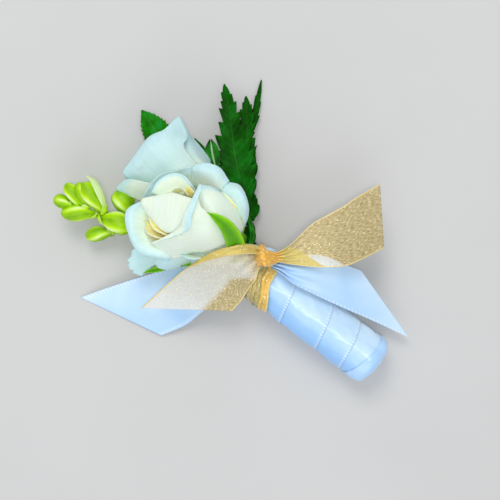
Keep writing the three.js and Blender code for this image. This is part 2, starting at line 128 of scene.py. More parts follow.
def ripple(place, size, seed):
    """A small smooth push, in metres, for the point: size in millimetres."""
    return noise.noise(place * 160 + Vector((seed, seed * 0.7, 3.1))) * size * MM


def crumple(turn, pace, along, shift=0.0):
    """Smooth chance round an axis: pace is how fast it changes with the turn."""
    return noise.noise(Vector((pace * math.sin(turn), along, pace * math.cos(turn) + shift)))


def add_sheet(bm, columns, rows, place, warm=None, size=(1, 1), start=0.0, joined=0.0):
    """One sheet whose point at u, v is place(u, v). warm(u, v) is stored for its material, and size and
    start lay out its UV map. Points closer together than joined, in metres, become one."""
    uv = bm.loops.layers.uv.verify()
    depth = bm.verts.layers.float.get("warm") or bm.verts.layers.float.new("warm")
    made = bmesh.ops.create_grid(bm, x_segments=columns, y_segments=rows, size=0.5)["verts"]
    faces = {face for vert in made for face in vert.link_faces}
    for face in faces:
        face.smooth = True
        for loop in face.loops:
            u, v = loop.vert.co.x + 0.5, loop.vert.co.y + 0.5
            loop[uv].uv = (start + u * size[0], v * size[1])
    for vert in made:
        u, v = vert.co.x + 0.5, vert.co.y + 0.5
        if warm:
            vert[depth] = warm(u, v)
        vert.co = place(u, v)
    if joined:
        bmesh.ops.remove_doubles(bm, verts=made, dist=joined)


def add_stem(bm, points, radii, sides=10, steps=60, depth=0.5):
    """A round stem along a smooth line through the points, its ends closed. Its radii are in millimetres,
    and depth is what its material reads."""
    side = (through(points, 1 / 400) - points[0]).normalized().orthogonal().normalized()
    frames = []
    for j in range(steps + 1):
        ahead = heading(points, j / steps, 0.01)
        side = (side - ahead * side.dot(ahead)).normalized()
        frames.append((through(points, j / steps), side, ahead.cross(side)))

    def place(u, v):
        here, one, other = frames[min(steps, round(v * steps))]
        radius = through(radii, v) * (0.02 if v in (0, 1) else 1.0) * MM
        return here + around(one, other, TAU * u) * radius

    add_sheet(bm, sides, steps, place, lambda u, v: depth, joined=SEAM)


def placed(name, data):
    """A new object of the scene, for a mesh, a lamp or a camera."""
    item = bpy.data.objects.new(name, data)
    bpy.context.scene.collection.objects.link(item)
    return item


def finished(name, bm, material, node, slot, thickness=0.0):
    """Turns a bmesh into a piece of the object that stands for a CAD node."""
    bmesh.ops.recalc_face_normals(bm, faces=bm.faces)
    mesh = bpy.data.meshes.new(name)
    bm.to_mesh(mesh)
    bm.free()
    mesh.materials.append(material)
    piece = placed(name, mesh)
    if thickness:
        wall = piece.modifiers.new("Wall", "SOLIDIFY")
        wall.thickness = thickness * MM
        wall.offset = 0
    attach(piece, "root")
    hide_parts(node)
    return piece


def ribbon_piece(name, bm, ribbon, thickness):
    """A finished piece of ribbon, of the given thickness in millimetres."""
    piece = finished(name, bm, *ribbon, thickness)


# Materials


def linear(hex_colour):
    """An sRGB hex colour as linear red, green, blue and alpha."""
    parts = [int(hex_colour[k : k + 2], 16) / 255 for k in (1, 3, 5)]
    return [c / 12.92 if c <= 0.04045 else ((c + 0.055) / 1.055) ** 2.4 for c in parts] + [1]


def add_node(tree, kind, links=(), stops=(), **settings):
    """One node. Its links are inputs by name or in order: values, hex colours, sockets or other nodes."""
    node = tree.nodes.new("ShaderNode" + kind)
    for key, value in settings.items():
        setattr(node, key, value)
    for k, (position, colour) in enumerate(stops):
        band = node.color_ramp.elements
        stop = band[0] if k == 0 else band[-1] if k == len(stops) - 1 else band.new(position)
        stop.position, stop.color = position, linear(colour)
    for key, value in links.items() if isinstance(links, dict) else enumerate(links):
        socket = ([s for s in node.inputs if s.name == key and s.enabled] or [node.inputs[key]])[0]
        if isinstance(value, bpy.types.Node):
            value = [s for s in value.outputs if s.enabled][0]
        if isinstance(value, bpy.types.NodeSocket):
            tree.links.new(value, socket)
        else:
            socket.default_value = linear(value) if isinstance(value, str) else value
    return node


def blank(name):
    """A new material with no nodes, and what adds one to it."""
    material = bpy.data.materials.new(name)
    material.use_nodes = True
    material.node_tree.nodes.clear()
    return material, partial(add_node, material.node_tree)


def from_edge(add, across):
    """The distance from the ribbon's nearer edge, in millimetres, where across runs from 0 to 1."""
    middle = add("Math", (across, 0.5), operation="SUBTRACT")
    outward = add("Math", (middle,), operation="ABSOLUTE")
    inward = add("Math", (0.5, outward), operation="SUBTRACT")
    return add("Math", (inward, RIBBON_WIDTH), operation="MULTIPLY")


# A brown spot on the near petal: its place in the photograph and its height
BRUISE = (182, 234, 39.5)

# From the petal's thin rim to its base: painted blue-white shade at the rim, then white, then cream and
# yellow, the bloom's own cream deepened by a painted warm glow and painted crease shade
PETAL_COLOURS = [
    (0.0, "#c2e6e8"), (0.2, "#d4f0e8"), (0.4, "#effbe4"), (0.6, "#fefaca"), (0.8, "#ffeb92"), (1.0, "#ffcf52")
]


def rose_petal():
    """Living rose petal: velvety white, cream to yellow down in the bloom, partly its own colour and partly a
    painted warm glow and crease shade, and painted blue-white shade at the thin rim.
    """
    material, add = blank("living rose petal")
    place = add("TexCoord").outputs["Object"]
    uv = add("UVMap")
    warm = add("Attribute", attribute_name="warm").outputs["Fac"]
    # Patches of tint about 7 mm across
    mottle = add("TexNoise", {"Vector": place, "Scale": 140.0, "Detail": 4.0})
    spread = add("Math", (mottle, 0.12, -0.06), operation="MULTIPLY_ADD")
    depth = add("Math", (warm, spread), operation="ADD")
    # Painted blue-white shade towards the rim and a painted warm glow and crease shade down in the bloom,
    # over the petal's own white and cream
    body = add("ValToRGB", (depth,), PETAL_COLOURS)
    # Veins run from the petal's base to its rim, about 0.7 mm apart
    stretch = add("Mapping", {"Vector": uv, "Scale": (34.0, 2.2, 1.0)})
    veins = add("TexNoise", {"Vector": stretch, "Scale": 1.0, "Detail": 3.0})
    lines = add("ValToRGB", (veins,), [(0.42, "#f3f7f0"), (0.6, "#ffffff")])
    veined = {"Factor": 0.5, "A": body, "B": lines}
    colour = add("Mix", veined, data_type="RGBA", blend_type="MULTIPLY")
    # One small bruise, about 0.6 mm across its middle
    away = add("VectorMath", (place, seen(BRUISE)), operation="DISTANCE")
    near = add("Math", (away, -1800.0, 1.1), operation="MULTIPLY_ADD", use_clamp=True)
    bruise = add("Math", (near, 0.7), operation="MINIMUM")
    colour = add("Mix", {"Factor": bruise, "A": colour, "B": "#d98a5c"}, data_type="RGBA")
    # Velvet of cells about 0.4 mm across, coarser than real ones, so that they show
    cells = add("TexNoise", {"Vector": place, "Scale": 2600.0, "Detail": 2.0})
    height = add("Math", (cells, 0.25, veins), operation="MULTIPLY_ADD")
    bump = add("Bump", {"Strength": 0.18, "Distance": 0.0002, "Height": height})
    shader = add("BsdfPrincipled", {
        "Base Color": colour, "Roughness": 0.55, "IOR": 1.4, "Normal": bump, "Sheen Weight": 0.15,
        "Subsurface Weight": 0.3, "Subsurface Radius": (1.0, 0.75, 0.5), "Subsurface Scale": 0.0016})
    add("OutputMaterial", (shader,))
    return material


def green_tissue(name, stops, gloss, grain):
    """Living green tissue: waxy skin over veins, lighter where it is young, lighter still where a highlight
    is painted on and darker where shade is painted on.
    """
    material, add = blank(name)
    place = add("TexCoord").outputs["Object"]
    uv = add("UVMap")
    warm = add("Attribute", attribute_name="warm").outputs["Fac"]
    # Patches about 4.5 mm across
    mottle = add("TexNoise", {"Vector": place, "Scale": 220.0, "Detail": 5.0})
    spread = add("Math", (mottle, 0.36, -0.18), operation="MULTIPLY_ADD")
    shade = add("Math", (warm, spread), operation="ADD")
    body = add("ValToRGB", (shade,), stops)
    # Veins run along the piece; grain is how many there are across and along it
    stretch = add("Mapping", {"Vector": uv, "Scale": grain})
    lines = add("TexNoise", {"Vector": stretch, "Scale": 1.0, "Detail": 3.0})
    veins = add("ValToRGB", (lines,), [(0.35, "#cfd8c4"), (0.62, "#ffffff")])
    veined = {"Factor": 0.5, "A": body, "B": veins}
    colour = add("Mix", veined, data_type="RGBA", blend_type="MULTIPLY")
    bump = add("Bump", {"Strength": 0.35, "Distance": 0.0003, "Height": lines})
    shader = add("BsdfPrincipled", {
        "Base Color": colour, "Roughness": gloss, "IOR": 1.42, "Normal": bump, "Specular IOR Level": 0.35,
        "Subsurface Weight": 0.1, "Subsurface Radius": (0.4, 1.0, 0.2), "Subsurface Scale": 0.001})
    add("OutputMaterial", (shader,))
    return material


def leaf_skin(name, stops, vein_colour, edge_colour, rib_size, rib_strength):
    """Grown leaf with a waxy skin: glossy between its veins, darker in patches, with a tinted edge."""
    material, add = blank(name)
    place = add("TexCoord").outputs["Object"]
    uv = add("UVMap")
    parts = add("SeparateXYZ", (uv,))
    across = add("Math", (parts.outputs["X"], 0.5), operation="SUBTRACT")
    off = add("Math", (across,), operation="ABSOLUTE")
    side = add("Math", (off, 2.0), operation="MULTIPLY")
    rib = add("Math", (side, -1 / rib_size, 1.0), operation="MULTIPLY_ADD", use_clamp=True)
    # Two side veins to each tooth, slanting forwards
    slant = add("Math", (side, -0.9, parts.outputs["Y"]), operation="MULTIPLY_ADD")
    turns = add("Math", (slant, TAU * 2), operation="MULTIPLY")
    wave = add("Math", (turns,), operation="SINE")
    vein = add("Math", (wave, 8.0, -7.2), operation="MULTIPLY_ADD", use_clamp=True)
    fine = add("Math", (vein, 0.14), operation="MULTIPLY")
    strong = add("Math", (rib, rib_strength), operation="MULTIPLY")
    marks = add("Math", (fine, strong), operation="MAXIMUM")
    # Darker patches about 5 mm across
    mottle = add("TexNoise", {"Vector": place, "Scale": 190.0, "Detail": 5.0})
    body = add("ValToRGB", (mottle,), stops)
    colour = add("Mix", {"Factor": marks, "A": body, "B": vein_colour}, data_type="RGBA")
    rim = add("Math", (side, 12.0, -11.3), operation="MULTIPLY_ADD", use_clamp=True)
    edge = add("Math", (rim, 0.6), operation="MINIMUM")
    colour = add("Mix", {"Factor": edge, "A": colour, "B": edge_colour}, data_type="RGBA")
    height = add("Math", (marks, -0.6, mottle), operation="MULTIPLY_ADD")
    bump = add("Bump", {"Strength": 0.4, "Distance": 0.0004, "Height": height})
    shader = add("BsdfPrincipled", {
        "Base Color": colour, "Roughness": 0.4, "IOR": 1.4, "Normal": bump, "Specular IOR Level": 0.06,
        "Subsurface Weight": 0.05, "Subsurface Radius": (0.3, 1.0, 0.2), "Subsurface Scale": 0.0008})
    add("OutputMaterial", (shader,))
    return material


# Picot loops of the satin's edges and the floats of its yarn, and the organza's selvage, in millimetres
PICOT_PITCH = 1.15
PICOT_MIDDLE = 0.7
PICOT_REACH = 0.5
# Floats are drawn coarser than real ones, so that they show
FLOAT_PITCH = 0.4
SELVAGE = 0.42


def satin_ribbon():
    """Woven polyester satin, painted pale blue for its shade: long floats give one smooth streak of light,
    and each edge has picot loops.
    """
    material, add = blank("woven polyester satin")
    place = add("TexCoord").outputs["Object"]
    uv = add("UVMap")
    deep = add("Attribute", attribute_name="warm").outputs["Fac"]
    parts = add("SeparateXYZ", (uv,))
    across, along = parts.outputs["X"], parts.outputs["Y"]
    # Picot loops of pale thread along both edges, with painted shade in the gaps between them
    edge = from_edge(add, across)
    turns = add("Math", (along, RIBBON_WIDTH * TAU / PICOT_PITCH), operation="MULTIPLY")
    loop = add("Math", (turns,), operation="SINE")
    border = add("Math", (edge, PICOT_MIDDLE, PICOT_REACH), operation="COMPARE")
    up = add("Math", (loop, 0.0), operation="GREATER_THAN")
    down = add("Math", (loop, 0.0), operation="LESS_THAN")
    stitch = add("Math", (border, up), operation="MULTIPLY")
    between = add("Math", (border, down), operation="MULTIPLY")
    # The white satin is painted pale blue for the bluish shade on it, changing in broad patches about 22 mm
    # across
    broad = add("TexNoise", {"Vector": place, "Scale": 45.0, "Detail": 2.0})
    body = add("ValToRGB", (broad,), [(0.3, "#b4d8f8"), (0.55, "#c6e3fb"), (0.75, "#d8eefe")])
    # Deeper blue where the attribute asks: painted shade on the handle's lower side, its end and the tails
    colour = add("Mix", {"Factor": deep, "A": body, "B": "#7cbaf6"}, data_type="RGBA")
    for share, strength, tint in ((between, 0.2, "#8fbdf0"), (stitch, 0.45, "#f4fcff")):
        factor = add("Math", (share, strength), operation="MULTIPLY")
        colour = add("Mix", {"Factor": factor, "A": colour, "B": tint}, data_type="RGBA")
    yarns = add("Math", (across, RIBBON_WIDTH * TAU / FLOAT_PITCH), operation="MULTIPLY")
    floats = add("Math", (yarns,), operation="SINE")
    # Soft creases about 6 mm across
    creases = add("TexNoise", {"Vector": place, "Scale": 170.0, "Detail": 3.0})
    deep_creases = add("Math", (creases, 1.2), operation="MULTIPLY")
    height = add("Math", (floats, 0.06, deep_creases), operation="MULTIPLY_ADD")
    height = add("Math", (between, -0.3, height), operation="MULTIPLY_ADD")
    bump = add("Bump", {"Strength": 0.35, "Distance": 0.0004, "Height": height})
    tangent = add("Tangent", direction_type="UV_MAP")
    shader = add("BsdfPrincipled", {
        "Base Color": colour, "Roughness": 0.31, "IOR": 1.5, "Normal": bump, "Anisotropic": 0.55,
        "Tangent": tangent, "Sheen Weight": 0.2, "Specular IOR Level": 0.9})
    add("OutputMaterial", (shader,))
    return material


def organza_ribbon():
    """Sheer organza with gilt threads: see-through between its threads, with painted glints on them."""
    material, add = blank("metallic organza")
    place = add("TexCoord").outputs["Object"]
    uv = add("UVMap")
    warm = add("Attribute", attribute_name="warm").outputs["Fac"]
    edge = from_edge(add, add("SeparateXYZ", (uv,)))
    selvage = add("Math", (edge, SELVAGE), operation="LESS_THAN")
    # Gilt threads drawn about 0.25 mm apart, coarser than real ones, so that they show as streaks
    stretch = add("Mapping", {"Vector": uv, "Scale": (95.0, 15.0, 1.0)})
    thread = add("TexNoise", {"Vector": stretch, "Scale": 1.0, "Detail": 3.0})
    # Flakes of gilt about 0.35 mm across, a few of which get a painted glint: pale and nearly opaque
    glints = add("TexVoronoi", {"Vector": place, "Scale": 2800.0})
    sparks = add("SeparateColor", (glints.outputs["Color"],))
    painted_glint = add("Math", (sparks, 0.982), operation="GREATER_THAN")
    # Above 0 the ribbon is doubled or gathered, and below 0 it is sheer over the satin, painted paler and
    # thinner there for the lit satin showing through
    folded = add("Math", (warm, 0.0), operation="MAXIMUM")
    layers = add("Math", (folded, 2.4), operation="MULTIPLY")
    doubled = add("Math", (layers, 0.75), operation="MINIMUM")
    gold = add("Math", (folded, 1.5, -0.4), operation="MULTIPLY_ADD", use_clamp=True)
    sheer = add("Math", (warm, -3.0), operation="MULTIPLY", use_clamp=True)
    colour = add("ValToRGB", (thread,), [(0.32, "#988246"), (0.5, "#c8b274"), (0.68, "#ece0b4")])
    bunched = add("ValToRGB", (thread,), [(0.32, "#ca8614"), (0.5, "#edae34"), (0.68, "#fdd87a")])
    tints = [(doubled, "#dcca5e"), (gold, bunched), (sheer, "#fff4dc")]
    for factor, tint in [*tints, (selvage, "#f0d890"), (painted_glint, "#fff0c4")]:
        colour = add("Mix", {"Factor": factor, "A": colour, "B": tint}, data_type="RGBA")
    cover = add("Math", (thread, 0.6, 0.42), operation="MULTIPLY_ADD")
    thinner = add("Math", (warm, 0.0), operation="MINIMUM")
    cover = add("Math", (cover, thinner), operation="ADD")
    closed = add("Math", (layers, 0.97), operation="MINIMUM")
    bound = add("Math", (selvage, 0.9), operation="MULTIPLY")
    glint_cover = add("Math", (painted_glint, 0.8), operation="MULTIPLY")
    for share in (bound, closed, glint_cover):
        cover = add("Math", (cover, share), operation="MAXIMUM")
    height = add("Math", (sparks, 0.7, thread), operation="MULTIPLY_ADD")
    bump = add("Bump", {"Strength": 0.14, "Distance": 0.0002, "Height": height})
    shader = add("BsdfPrincipled", {
        "Base Color": colour, "Roughness": 0.4, "Metallic": 0.15, "Normal": bump, "Alpha": cover,
        "Sheen Weight": 0.3})
    add("OutputMaterial", (shader,))
    return material


def floral_tape():
    """Waxed crepe paper tape: fine creases across the stems and a dull waxy face."""
    material, add = blank("waxed crepe tape")
    place = add("TexCoord").outputs["Object"]
    # Crepe creases about 1.1 mm across
    creases = add("TexNoise", {"Vector": place, "Scale": 900.0, "Detail": 3.0})
    colour = add("ValToRGB", (creases,), [(0.35, "#3d6630"), (0.65, "#5f8f4a")])
    bump = add("Bump", {"Strength": 0.5, "Distance": 0.0002, "Height": creases})
    shader = add("BsdfPrincipled", {"Base Color": colour, "Roughness": 0.75, "Normal": bump})
    add("OutputMaterial", (shader,))
    return material


def table_top():
    """Matt painted board, pale and plain."""
    material, add = blank("matt painted board")
    place = add("TexCoord").outputs["Object"]
    # Faint patches about 80 mm across
    grain = add("TexNoise", {"Vector": place, "Scale": 12.0, "Detail": 3.0})
    colour = add("ValToRGB", (grain,), [(0.3, "#c6c5c3"), (0.7, "#cac9c7")])
    shader = add("BsdfPrincipled", {"Base Color": colour, "Roughness": 0.8})
    add("OutputMaterial", (shader,))
    return material


PETAL_SKIN = rose_petal()
# Sepals, hips and rose stems: fresh green, yellower at the sepals' edges
YOUNG_STOPS = [(0.0, "#2f8000"), (0.45, "#57a800"), (0.8, "#84cc00"), (1.0, "#a6dc20")]
YOUNG_GREEN = green_tissue("young rose green", YOUNG_STOPS, 0.42, (14.0, 2.0, 1.0))
# Freesia buds: darker green at the seams, painted shade in the grooves, lime on the body and nearly white on
# the folds and bracts, the folds' own pale stripes with a painted highlight on them
BUD_STOPS = [(0.0, "#4c8800"), (0.3, "#98cc00"), (0.55, "#bcea06"), (0.75, "#cdf04e"), (1.0, "#e6fab4")]
BUD_GREEN = green_tissue("freesia bud skin", BUD_STOPS, 0.4, (9.0, 1.5, 1.0))
FERN_STOPS = [(0.3, "#063a00"), (0.5, "#095000"), (0.7, "#0c7010")]
FERN_GREEN = leaf_skin("leather fern", FERN_STOPS, "#58a83c", "#2e4a12", 0.05, 0.2)
LEAF_STOPS = [(0.3, "#0c5a00"), (0.5, "#1a8002"), (0.7, "#129a48")]
LEAF_GREEN = leaf_skin("rose leaf skin", LEAF_STOPS, "#6cb85a", "#7a3a1c", 0.06, 0.3)
SPRIG_STOPS = [(0.3, "#084402"), (0.5, "#107008"), (0.7, "#2a9a2c")]
SPRIG_GREEN = leaf_skin("sprig leaf skin", SPRIG_STOPS, "#cfeec0", "#6a9a2c", 0.2, 0.8)
SATIN = satin_ribbon()
ORGANZA = organza_ribbon()
# What each ribbon's pieces are made of, the CAD node that they stand for and the slot of its finish
WRAP = (SATIN, "satin_wrap", "satin_ribbon")
SATIN_TIE = (SATIN, "satin_tie", "satin_ribbon")
ORGANZA_TIE = (ORGANZA, "organza_tie", "organza_ribbon")


# Roses


def rose_at(hip, rise, yaw, far):
    """A rose by its hip: its bloom points rise degrees up and yaw aside, and far is how much of the
    near half's spread its far half has."""
    up, aside = math.radians(rise), math.radians(yaw)
    axis = Vector((math.sin(aside) * math.cos(up), math.cos(aside) * math.cos(up), math.sin(up)))
    across = Vector((math.cos(aside), -math.sin(aside), 0))
    return SimpleNamespace(hip=hip, near=across.cross(axis), across=across, axis=axis, far=far)


FRONT_ROSE = rose_at(from_knot((4.6, 13.0, 14.5)), 52, -8, 0.78)
BACK_ROSE = rose_at(from_knot((8.8, 27.6, 13.0)), 3, 9, 1.0)
# Shares of their full size, towards the near side, across and along the axis
FRONT_CUP_SCALE = (0.9, 0.9, 0.9)
FRONT_GREEN_SCALE = (0.92, 0.92, 0.92)
BACK_CUP_SCALE = (0.84, 0.95, 0.82)
BACK_GREEN_SCALE = (0.86, 1, 0.84)

# Petals of the front rose that the photograph shows. Each has rows of points from its base to its rim,
# as places in the photograph, in pixels, with heights in millimetres, then how far up from its base it
# is yellow, its own cream with a painted warm glow and crease shade, and how far down from its rim it is
# painted blue-white shade at its two sides, as shares of its length
FRONT_PETALS = {
    "near": ([
        [(229, 250, 21.5), (232, 245, 25), (232, 240.5, 28.5), (230, 236, 32), (227, 232, 34.4)],
        [(212, 253, 25.4), (214, 245, 33), (214, 237, 36.8), (214, 229, 39), (215, 222, 40)],
        [(193, 253, 27), (195, 244, 34.6), (197, 235, 38.8), (201, 225, 41), (207, 212, 42)],
        [(171, 258.6, 26.4), (176, 249, 33), (181, 238, 38.5), (190, 222, 42.6), (200, 204, 43)],
        [(152, 244, 29.5), (163, 238.5, 34.5), (177.5, 228, 40.2), (186, 211, 43.8), (199.5, 184, 43.4)],
        [(151, 245, 30.2), (164, 240, 35.6), (188.5, 230, 42.6), (192.5, 214, 44.8), (203.5, 187, 44.2)],
    ], 0.1, (-0.15, 0.3)),
    "near_right": ([
        [(233, 243, 28), (236, 237, 31), (240, 232, 30), (243, 229, 25)],
        [(219, 228, 38), (225, 220, 38.4), (233, 214, 36), (239, 215, 31)],
        [(205, 212, 40), (211, 203, 40.6), (221, 198, 38), (231, 202, 34)],
        [(194, 201, 39), (198.5, 186.5, 39.6), (211, 186, 37.5), (222, 193, 34.5)],
    ], 0.15, (0.02, 0.2)),
    "far_right": ([
        [(226, 214, 31), (234, 218, 30), (239, 225, 27), (240.5, 232, 23), (240, 238, 20)],
        [(220, 196, 33), (231, 201, 33.5), (239, 212, 32), (242.4, 224, 27.5), (241.6, 234, 22)],
        [(224, 186, 33.5), (237, 190, 35.5), (244.5, 203, 35), (245.3, 218, 30), (243, 231, 24)],
        [(229.5, 181.5, 31.5), (240.5, 186, 33), (248, 202, 33), (248, 218, 28), (242, 230, 23)],
    ], 0.55, (0.7, 0.7)),
    "top_right": ([
        [(206, 207, 26), (212, 207, 27), (220, 210, 27), (229, 215, 26)],
        [(196, 184, 30.5), (204, 185, 32), (215, 189, 33), (226, 196, 31.5)],
        [(193, 172, 33.5), (203, 171, 35.5), (216, 174, 36), (227, 184, 33.5)],
        [(191, 166, 33.5), (203, 162.5, 34.5), (219, 167, 35), (230, 181, 32)],
    ], 0.4, (0.5, 0.5)),
    "top_left": ([
        [(180, 226, 21), (184, 218, 21), (190, 212, 22), (198, 208, 24), (206, 206, 25)],
        [(156, 214, 24), (160, 203, 24.5), (168, 193, 25.5), (180, 187, 27.5), (193, 184, 30)],
        [(145, 205, 27.5), (152, 193, 28), (162, 182, 29.5), (177, 176, 31), (192, 173, 33)],
        [(141, 200, 29), (148.5, 186, 30), (160, 174.5, 31.5), (176, 170, 33), (193, 165, 34)],
    ], 0.35, (0.5, 0.5)),
    "left": ([
        [(186, 222, 20), (180, 226, 20), (178, 233, 21), (182, 240, 22), (190, 247, 23)],
        [(166, 212, 23), (158, 219, 23.5), (157, 231, 25), (163, 241, 26.5), (177, 250, 26.5)],
        [(152, 205, 26.5), (142, 214, 27.5), (142, 231, 28.4), (151, 245, 29), (171, 255.5, 28)],
        [(145, 201.5, 28.5), (132, 211.5, 29.4), (132, 232, 30), (144.5, 250.5, 30), (170, 259.5, 27)],
        [(142, 200, 29), (126, 211, 28.6), (128, 234, 29), (141, 254, 29), (169, 260.5, 25.6)],
    ], 0.6, (0.46, 0.46)),
    "ragged": ([
        [(190, 259, 16), (188, 256, 17), (186, 251, 17.5), (184, 245, 17.5)],
        [(165, 261, 15.6), (162, 258, 17), (160, 253, 18), (159, 246, 18.5)],
        [(152, 266.5, 15), (146, 262, 16.6), (142, 255, 18), (142, 248, 19)],
        [(139.5, 278, 13.5), (131, 271, 15.6), (127.5, 261, 17), (132, 248, 18.5)],
    ], 0.1, (0.9, 0.9)),
    "below": ([
        [(212, 262, 17.5), (211, 257, 19.6), (209, 252, 21.6)],
        [(190, 265, 18.6), (188, 259, 22.2), (190, 251, 25)],
        [(171, 269, 19), (166, 263.5, 24), (163, 256.5, 25.6)],
        [(168, 270, 18.5), (159, 268, 20.5), (152.5, 261.5, 23.4)],
    ], 0.15, (0.8, 0.8)),
    "below_right": ([
        [(232, 262, 20.5), (231, 256, 22.4), (231, 249, 22)],
        [(213, 265, 20.2), (211, 258, 24.4), (210, 250, 25.4)],
        [(189, 264.5, 20.4), (190.8, 257.5, 24), (193, 249.5, 26)],
    ], 0.1, (0.3, 0.3)),
}

# Inner petals of the front rose, and the folded one over its middle
FRONT_HEART = {
    "folded": ([
        [(147, 206, 25), (157, 218, 27), (166, 227, 29), (175, 230, 31), (184, 226, 33)],
        [(143, 208, 29.5), (152, 220, 32), (161, 229, 34.5), (171, 233, 37), (180, 229, 39)],
        [(141.5, 205, 31.5), (154, 213, 34.6), (166, 218, 37), (177, 219, 39.2), (186, 214, 41)],
        [(141, 201, 32), (156, 203, 35.2), (169, 204, 37.8), (181, 205, 39.9), (191, 204, 41.2)],
        [(144, 198, 32.4), (158, 195.5, 34.8), (171, 193, 37.2), (183, 196, 39.6), (193, 199, 41.2)],
        [(151, 198, 29), (163, 197, 31), (174, 196.5, 33.4), (184, 199, 36), (193, 203, 38)],
    ], 0.1, (0.12, 0.12)),
    "arc": ([
        [(168, 202, 29.5), (174, 200, 30.5), (181, 199, 31.5), (188, 200, 33)],
        [(157, 195, 31.4), (167, 188, 32.8), (177, 185, 34), (188, 190, 35.6)],
        [(150, 193, 32.4), (159, 179.5, 34), (173, 173, 35.4), (185, 176, 37), (194, 187, 38.6)],
    ], 0.62, (0.12, 0.12)),
    "strand_top": ([
        [(177, 203, 28), (184, 202, 29.5), (190, 203, 31)],
        [(173, 194, 33), (181, 191.5, 34.6), (188, 196, 36)],
        [(172, 190, 35.4), (180.5, 187, 36.8), (189, 195.5, 38)],
    ], 1.4, (0.03, 0.03)),
    "strand_mid": ([
        [(182, 204, 29), (188, 203, 30.5), (193, 203, 32)],
        [(183, 196, 35), (188, 192, 36.2), (193, 195, 37.2)],
        [(183, 192.5, 37), (188, 185.5, 38), (195, 192, 39)],
    ], 2.4, (0.02, 0.02)),
    "crease": ([
        [(212, 200, 31), (219, 207, 31), (226, 216, 28), (232, 226, 24)],
        [(217, 196, 34), (226, 204, 33.4), (234, 215, 30.6), (239, 225, 26.4)],
        [(222.4, 191.4, 35), (232.4, 200.4, 34.8), (240.8, 213.4, 31.8), (244.2, 223.6, 27.8)],
    ], 2.2, (0.02, 0.02)),
    "strand_low": ([
        [(168, 222, 27), (170, 228, 28), (176, 232, 29)],
        [(152, 219, 31), (158, 229, 33), (168, 235, 35)],
        [(148, 217, 32.4), (154, 229, 34.4), (167, 236, 35.4)],
    ], 2.0, (0.02, 0.02)),
    "strand_lower": ([
        [(168, 226, 25), (170, 232, 26), (176, 237, 27)],
        [(147, 222, 29), (152, 233, 31), (165, 239, 33)],
        [(143, 220, 30.6), (148, 233.5, 32.4), (163, 240, 33.2)],
    ], 1.5, (0.02, 0.02)),
    "strand_lowest": ([
        [(170, 230, 24), (174, 236, 25), (180, 240, 27)],
        [(147, 231, 27.6), (154, 240, 29.2), (168, 245, 31)],
        [(143.5, 231, 29), (151, 240.5, 30), (164, 243.5, 30.6)],
    ], 1.1, (0.04, 0.04)),
}

# Petals of the back rose that the photograph shows
BACK_PETALS = {
    "broad": ([
        [(163, 203, 15), (174, 193, 21.5), (187, 181, 25.5), (196, 174, 24.8), (200, 170, 23)],
        [(142, 192, 16), (153, 180, 22.6), (168, 166, 27.2), (179, 156, 27), (184, 147, 25.4)],
        [(128, 180, 16.6), (138, 166, 22.6), (153, 150, 27.2), (169, 141, 27), (187.4, 138.5, 23.6)],
        [(124, 176, 16.8), (134.5, 161, 22.4), (149, 143, 26.6), (167, 133.6, 26), (187.8, 131.5, 20.6)],
        [(122, 171.5, 17), (133, 157.5, 21.8), (148.5, 137.2, 25.4), (165.5, 128.5, 24.6),
         (178, 111.5, 20.3)],
    ], 0.05, (0.95, 0.95)),
    "behind": ([
        [(200, 172, 21), (206, 171, 20), (211, 173, 18), (215, 177, 14.5), (217, 183, 11)],
        [(184, 156, 22.6), (193, 154, 21.8), (201, 159, 19), (208, 166, 15), (212, 174, 10.5)],
        [(176, 144, 21), (186, 139, 20.6), (195, 146, 18.4), (204, 156, 14.5), (211, 166, 10)],
        [(174, 138, 18.5), (182, 128, 18), (189.3, 134, 16.4), (201.5, 148, 13.5), (210, 158.5, 9.5)],
    ], 0.05, (0.8, 0.8)),
    "lip": ([
        [(168, 206, 16), (163, 196, 23), (159, 186, 27.4)],
        [(146, 202, 14), (144, 192, 21), (144, 182, 25.4)],
        [(131, 196.5, 12.5), (128.5, 188, 17), (131.5, 179.3, 21)],
        [(122, 193.5, 11.5), (116.4, 188.5, 13.4), (123.5, 180, 17.6)],
    ], 0.1, (0.3, 0.3)),
}


def add_petal(bm, rose, rows, glow, rim_shade, seed, fray=0.0):
    """One petal over its rows of points, joined to the hip; fray is how ragged its rim is."""
    net = [[seen(point) for point in row] for row in rows]
    net.insert(0, [rose.hip.lerp(point, 0.16) for point in net[0]])
    longest = max(len(row) for row in net)
    net[0] = [through(net[0], k / (longest - 1)) for k in range(longest)]

    def place(u, v):
        corner = 0.04 * abs(2 * u - 1) ** 4
        torn = noise.noise(Vector((9 * u, seed, 0.5))) + 0.4 * noise.noise(Vector((31 * u, seed, 0)))
        point = over_net(net, u, v * (1 - corner - fray * max(0.0, torn)))
        curl = 0.5 * noise.noise(point * 420 + Vector((0, seed, 0))) * v**4
        return point + Vector((0, 0, ripple(point, 0.5 * v, seed) + curl * MM))

    # Yellow up from the base, the petal's own cream with a painted warm glow and crease shade, and blue-white
    # down from the rim, painted shade
    def warm(u, v):
        share = max(0.02, rim_shade[0] + (rim_shade[1] - rim_shade[0]) * u)
        rim = held((v - 1 + share) / (0.7 * share))
        return 0.4 * (1 - rim) + 0.6 * max(0.0, 1 - v / glow)

    add_sheet(bm, 30, 30, place, warm)


def bloom_point(rose, scale, turn, radius, height):
    """A point of a rose from its turn round the axis in radians, its radius and its height."""
    x, y = radius * math.cos(turn) * scale[0], radius * math.sin(turn) * scale[1]
    if x < 0:
        x *= rose.far
    return rose.hip + (rose.near * x + rose.across * y + rose.axis * height * scale[2]) * MM


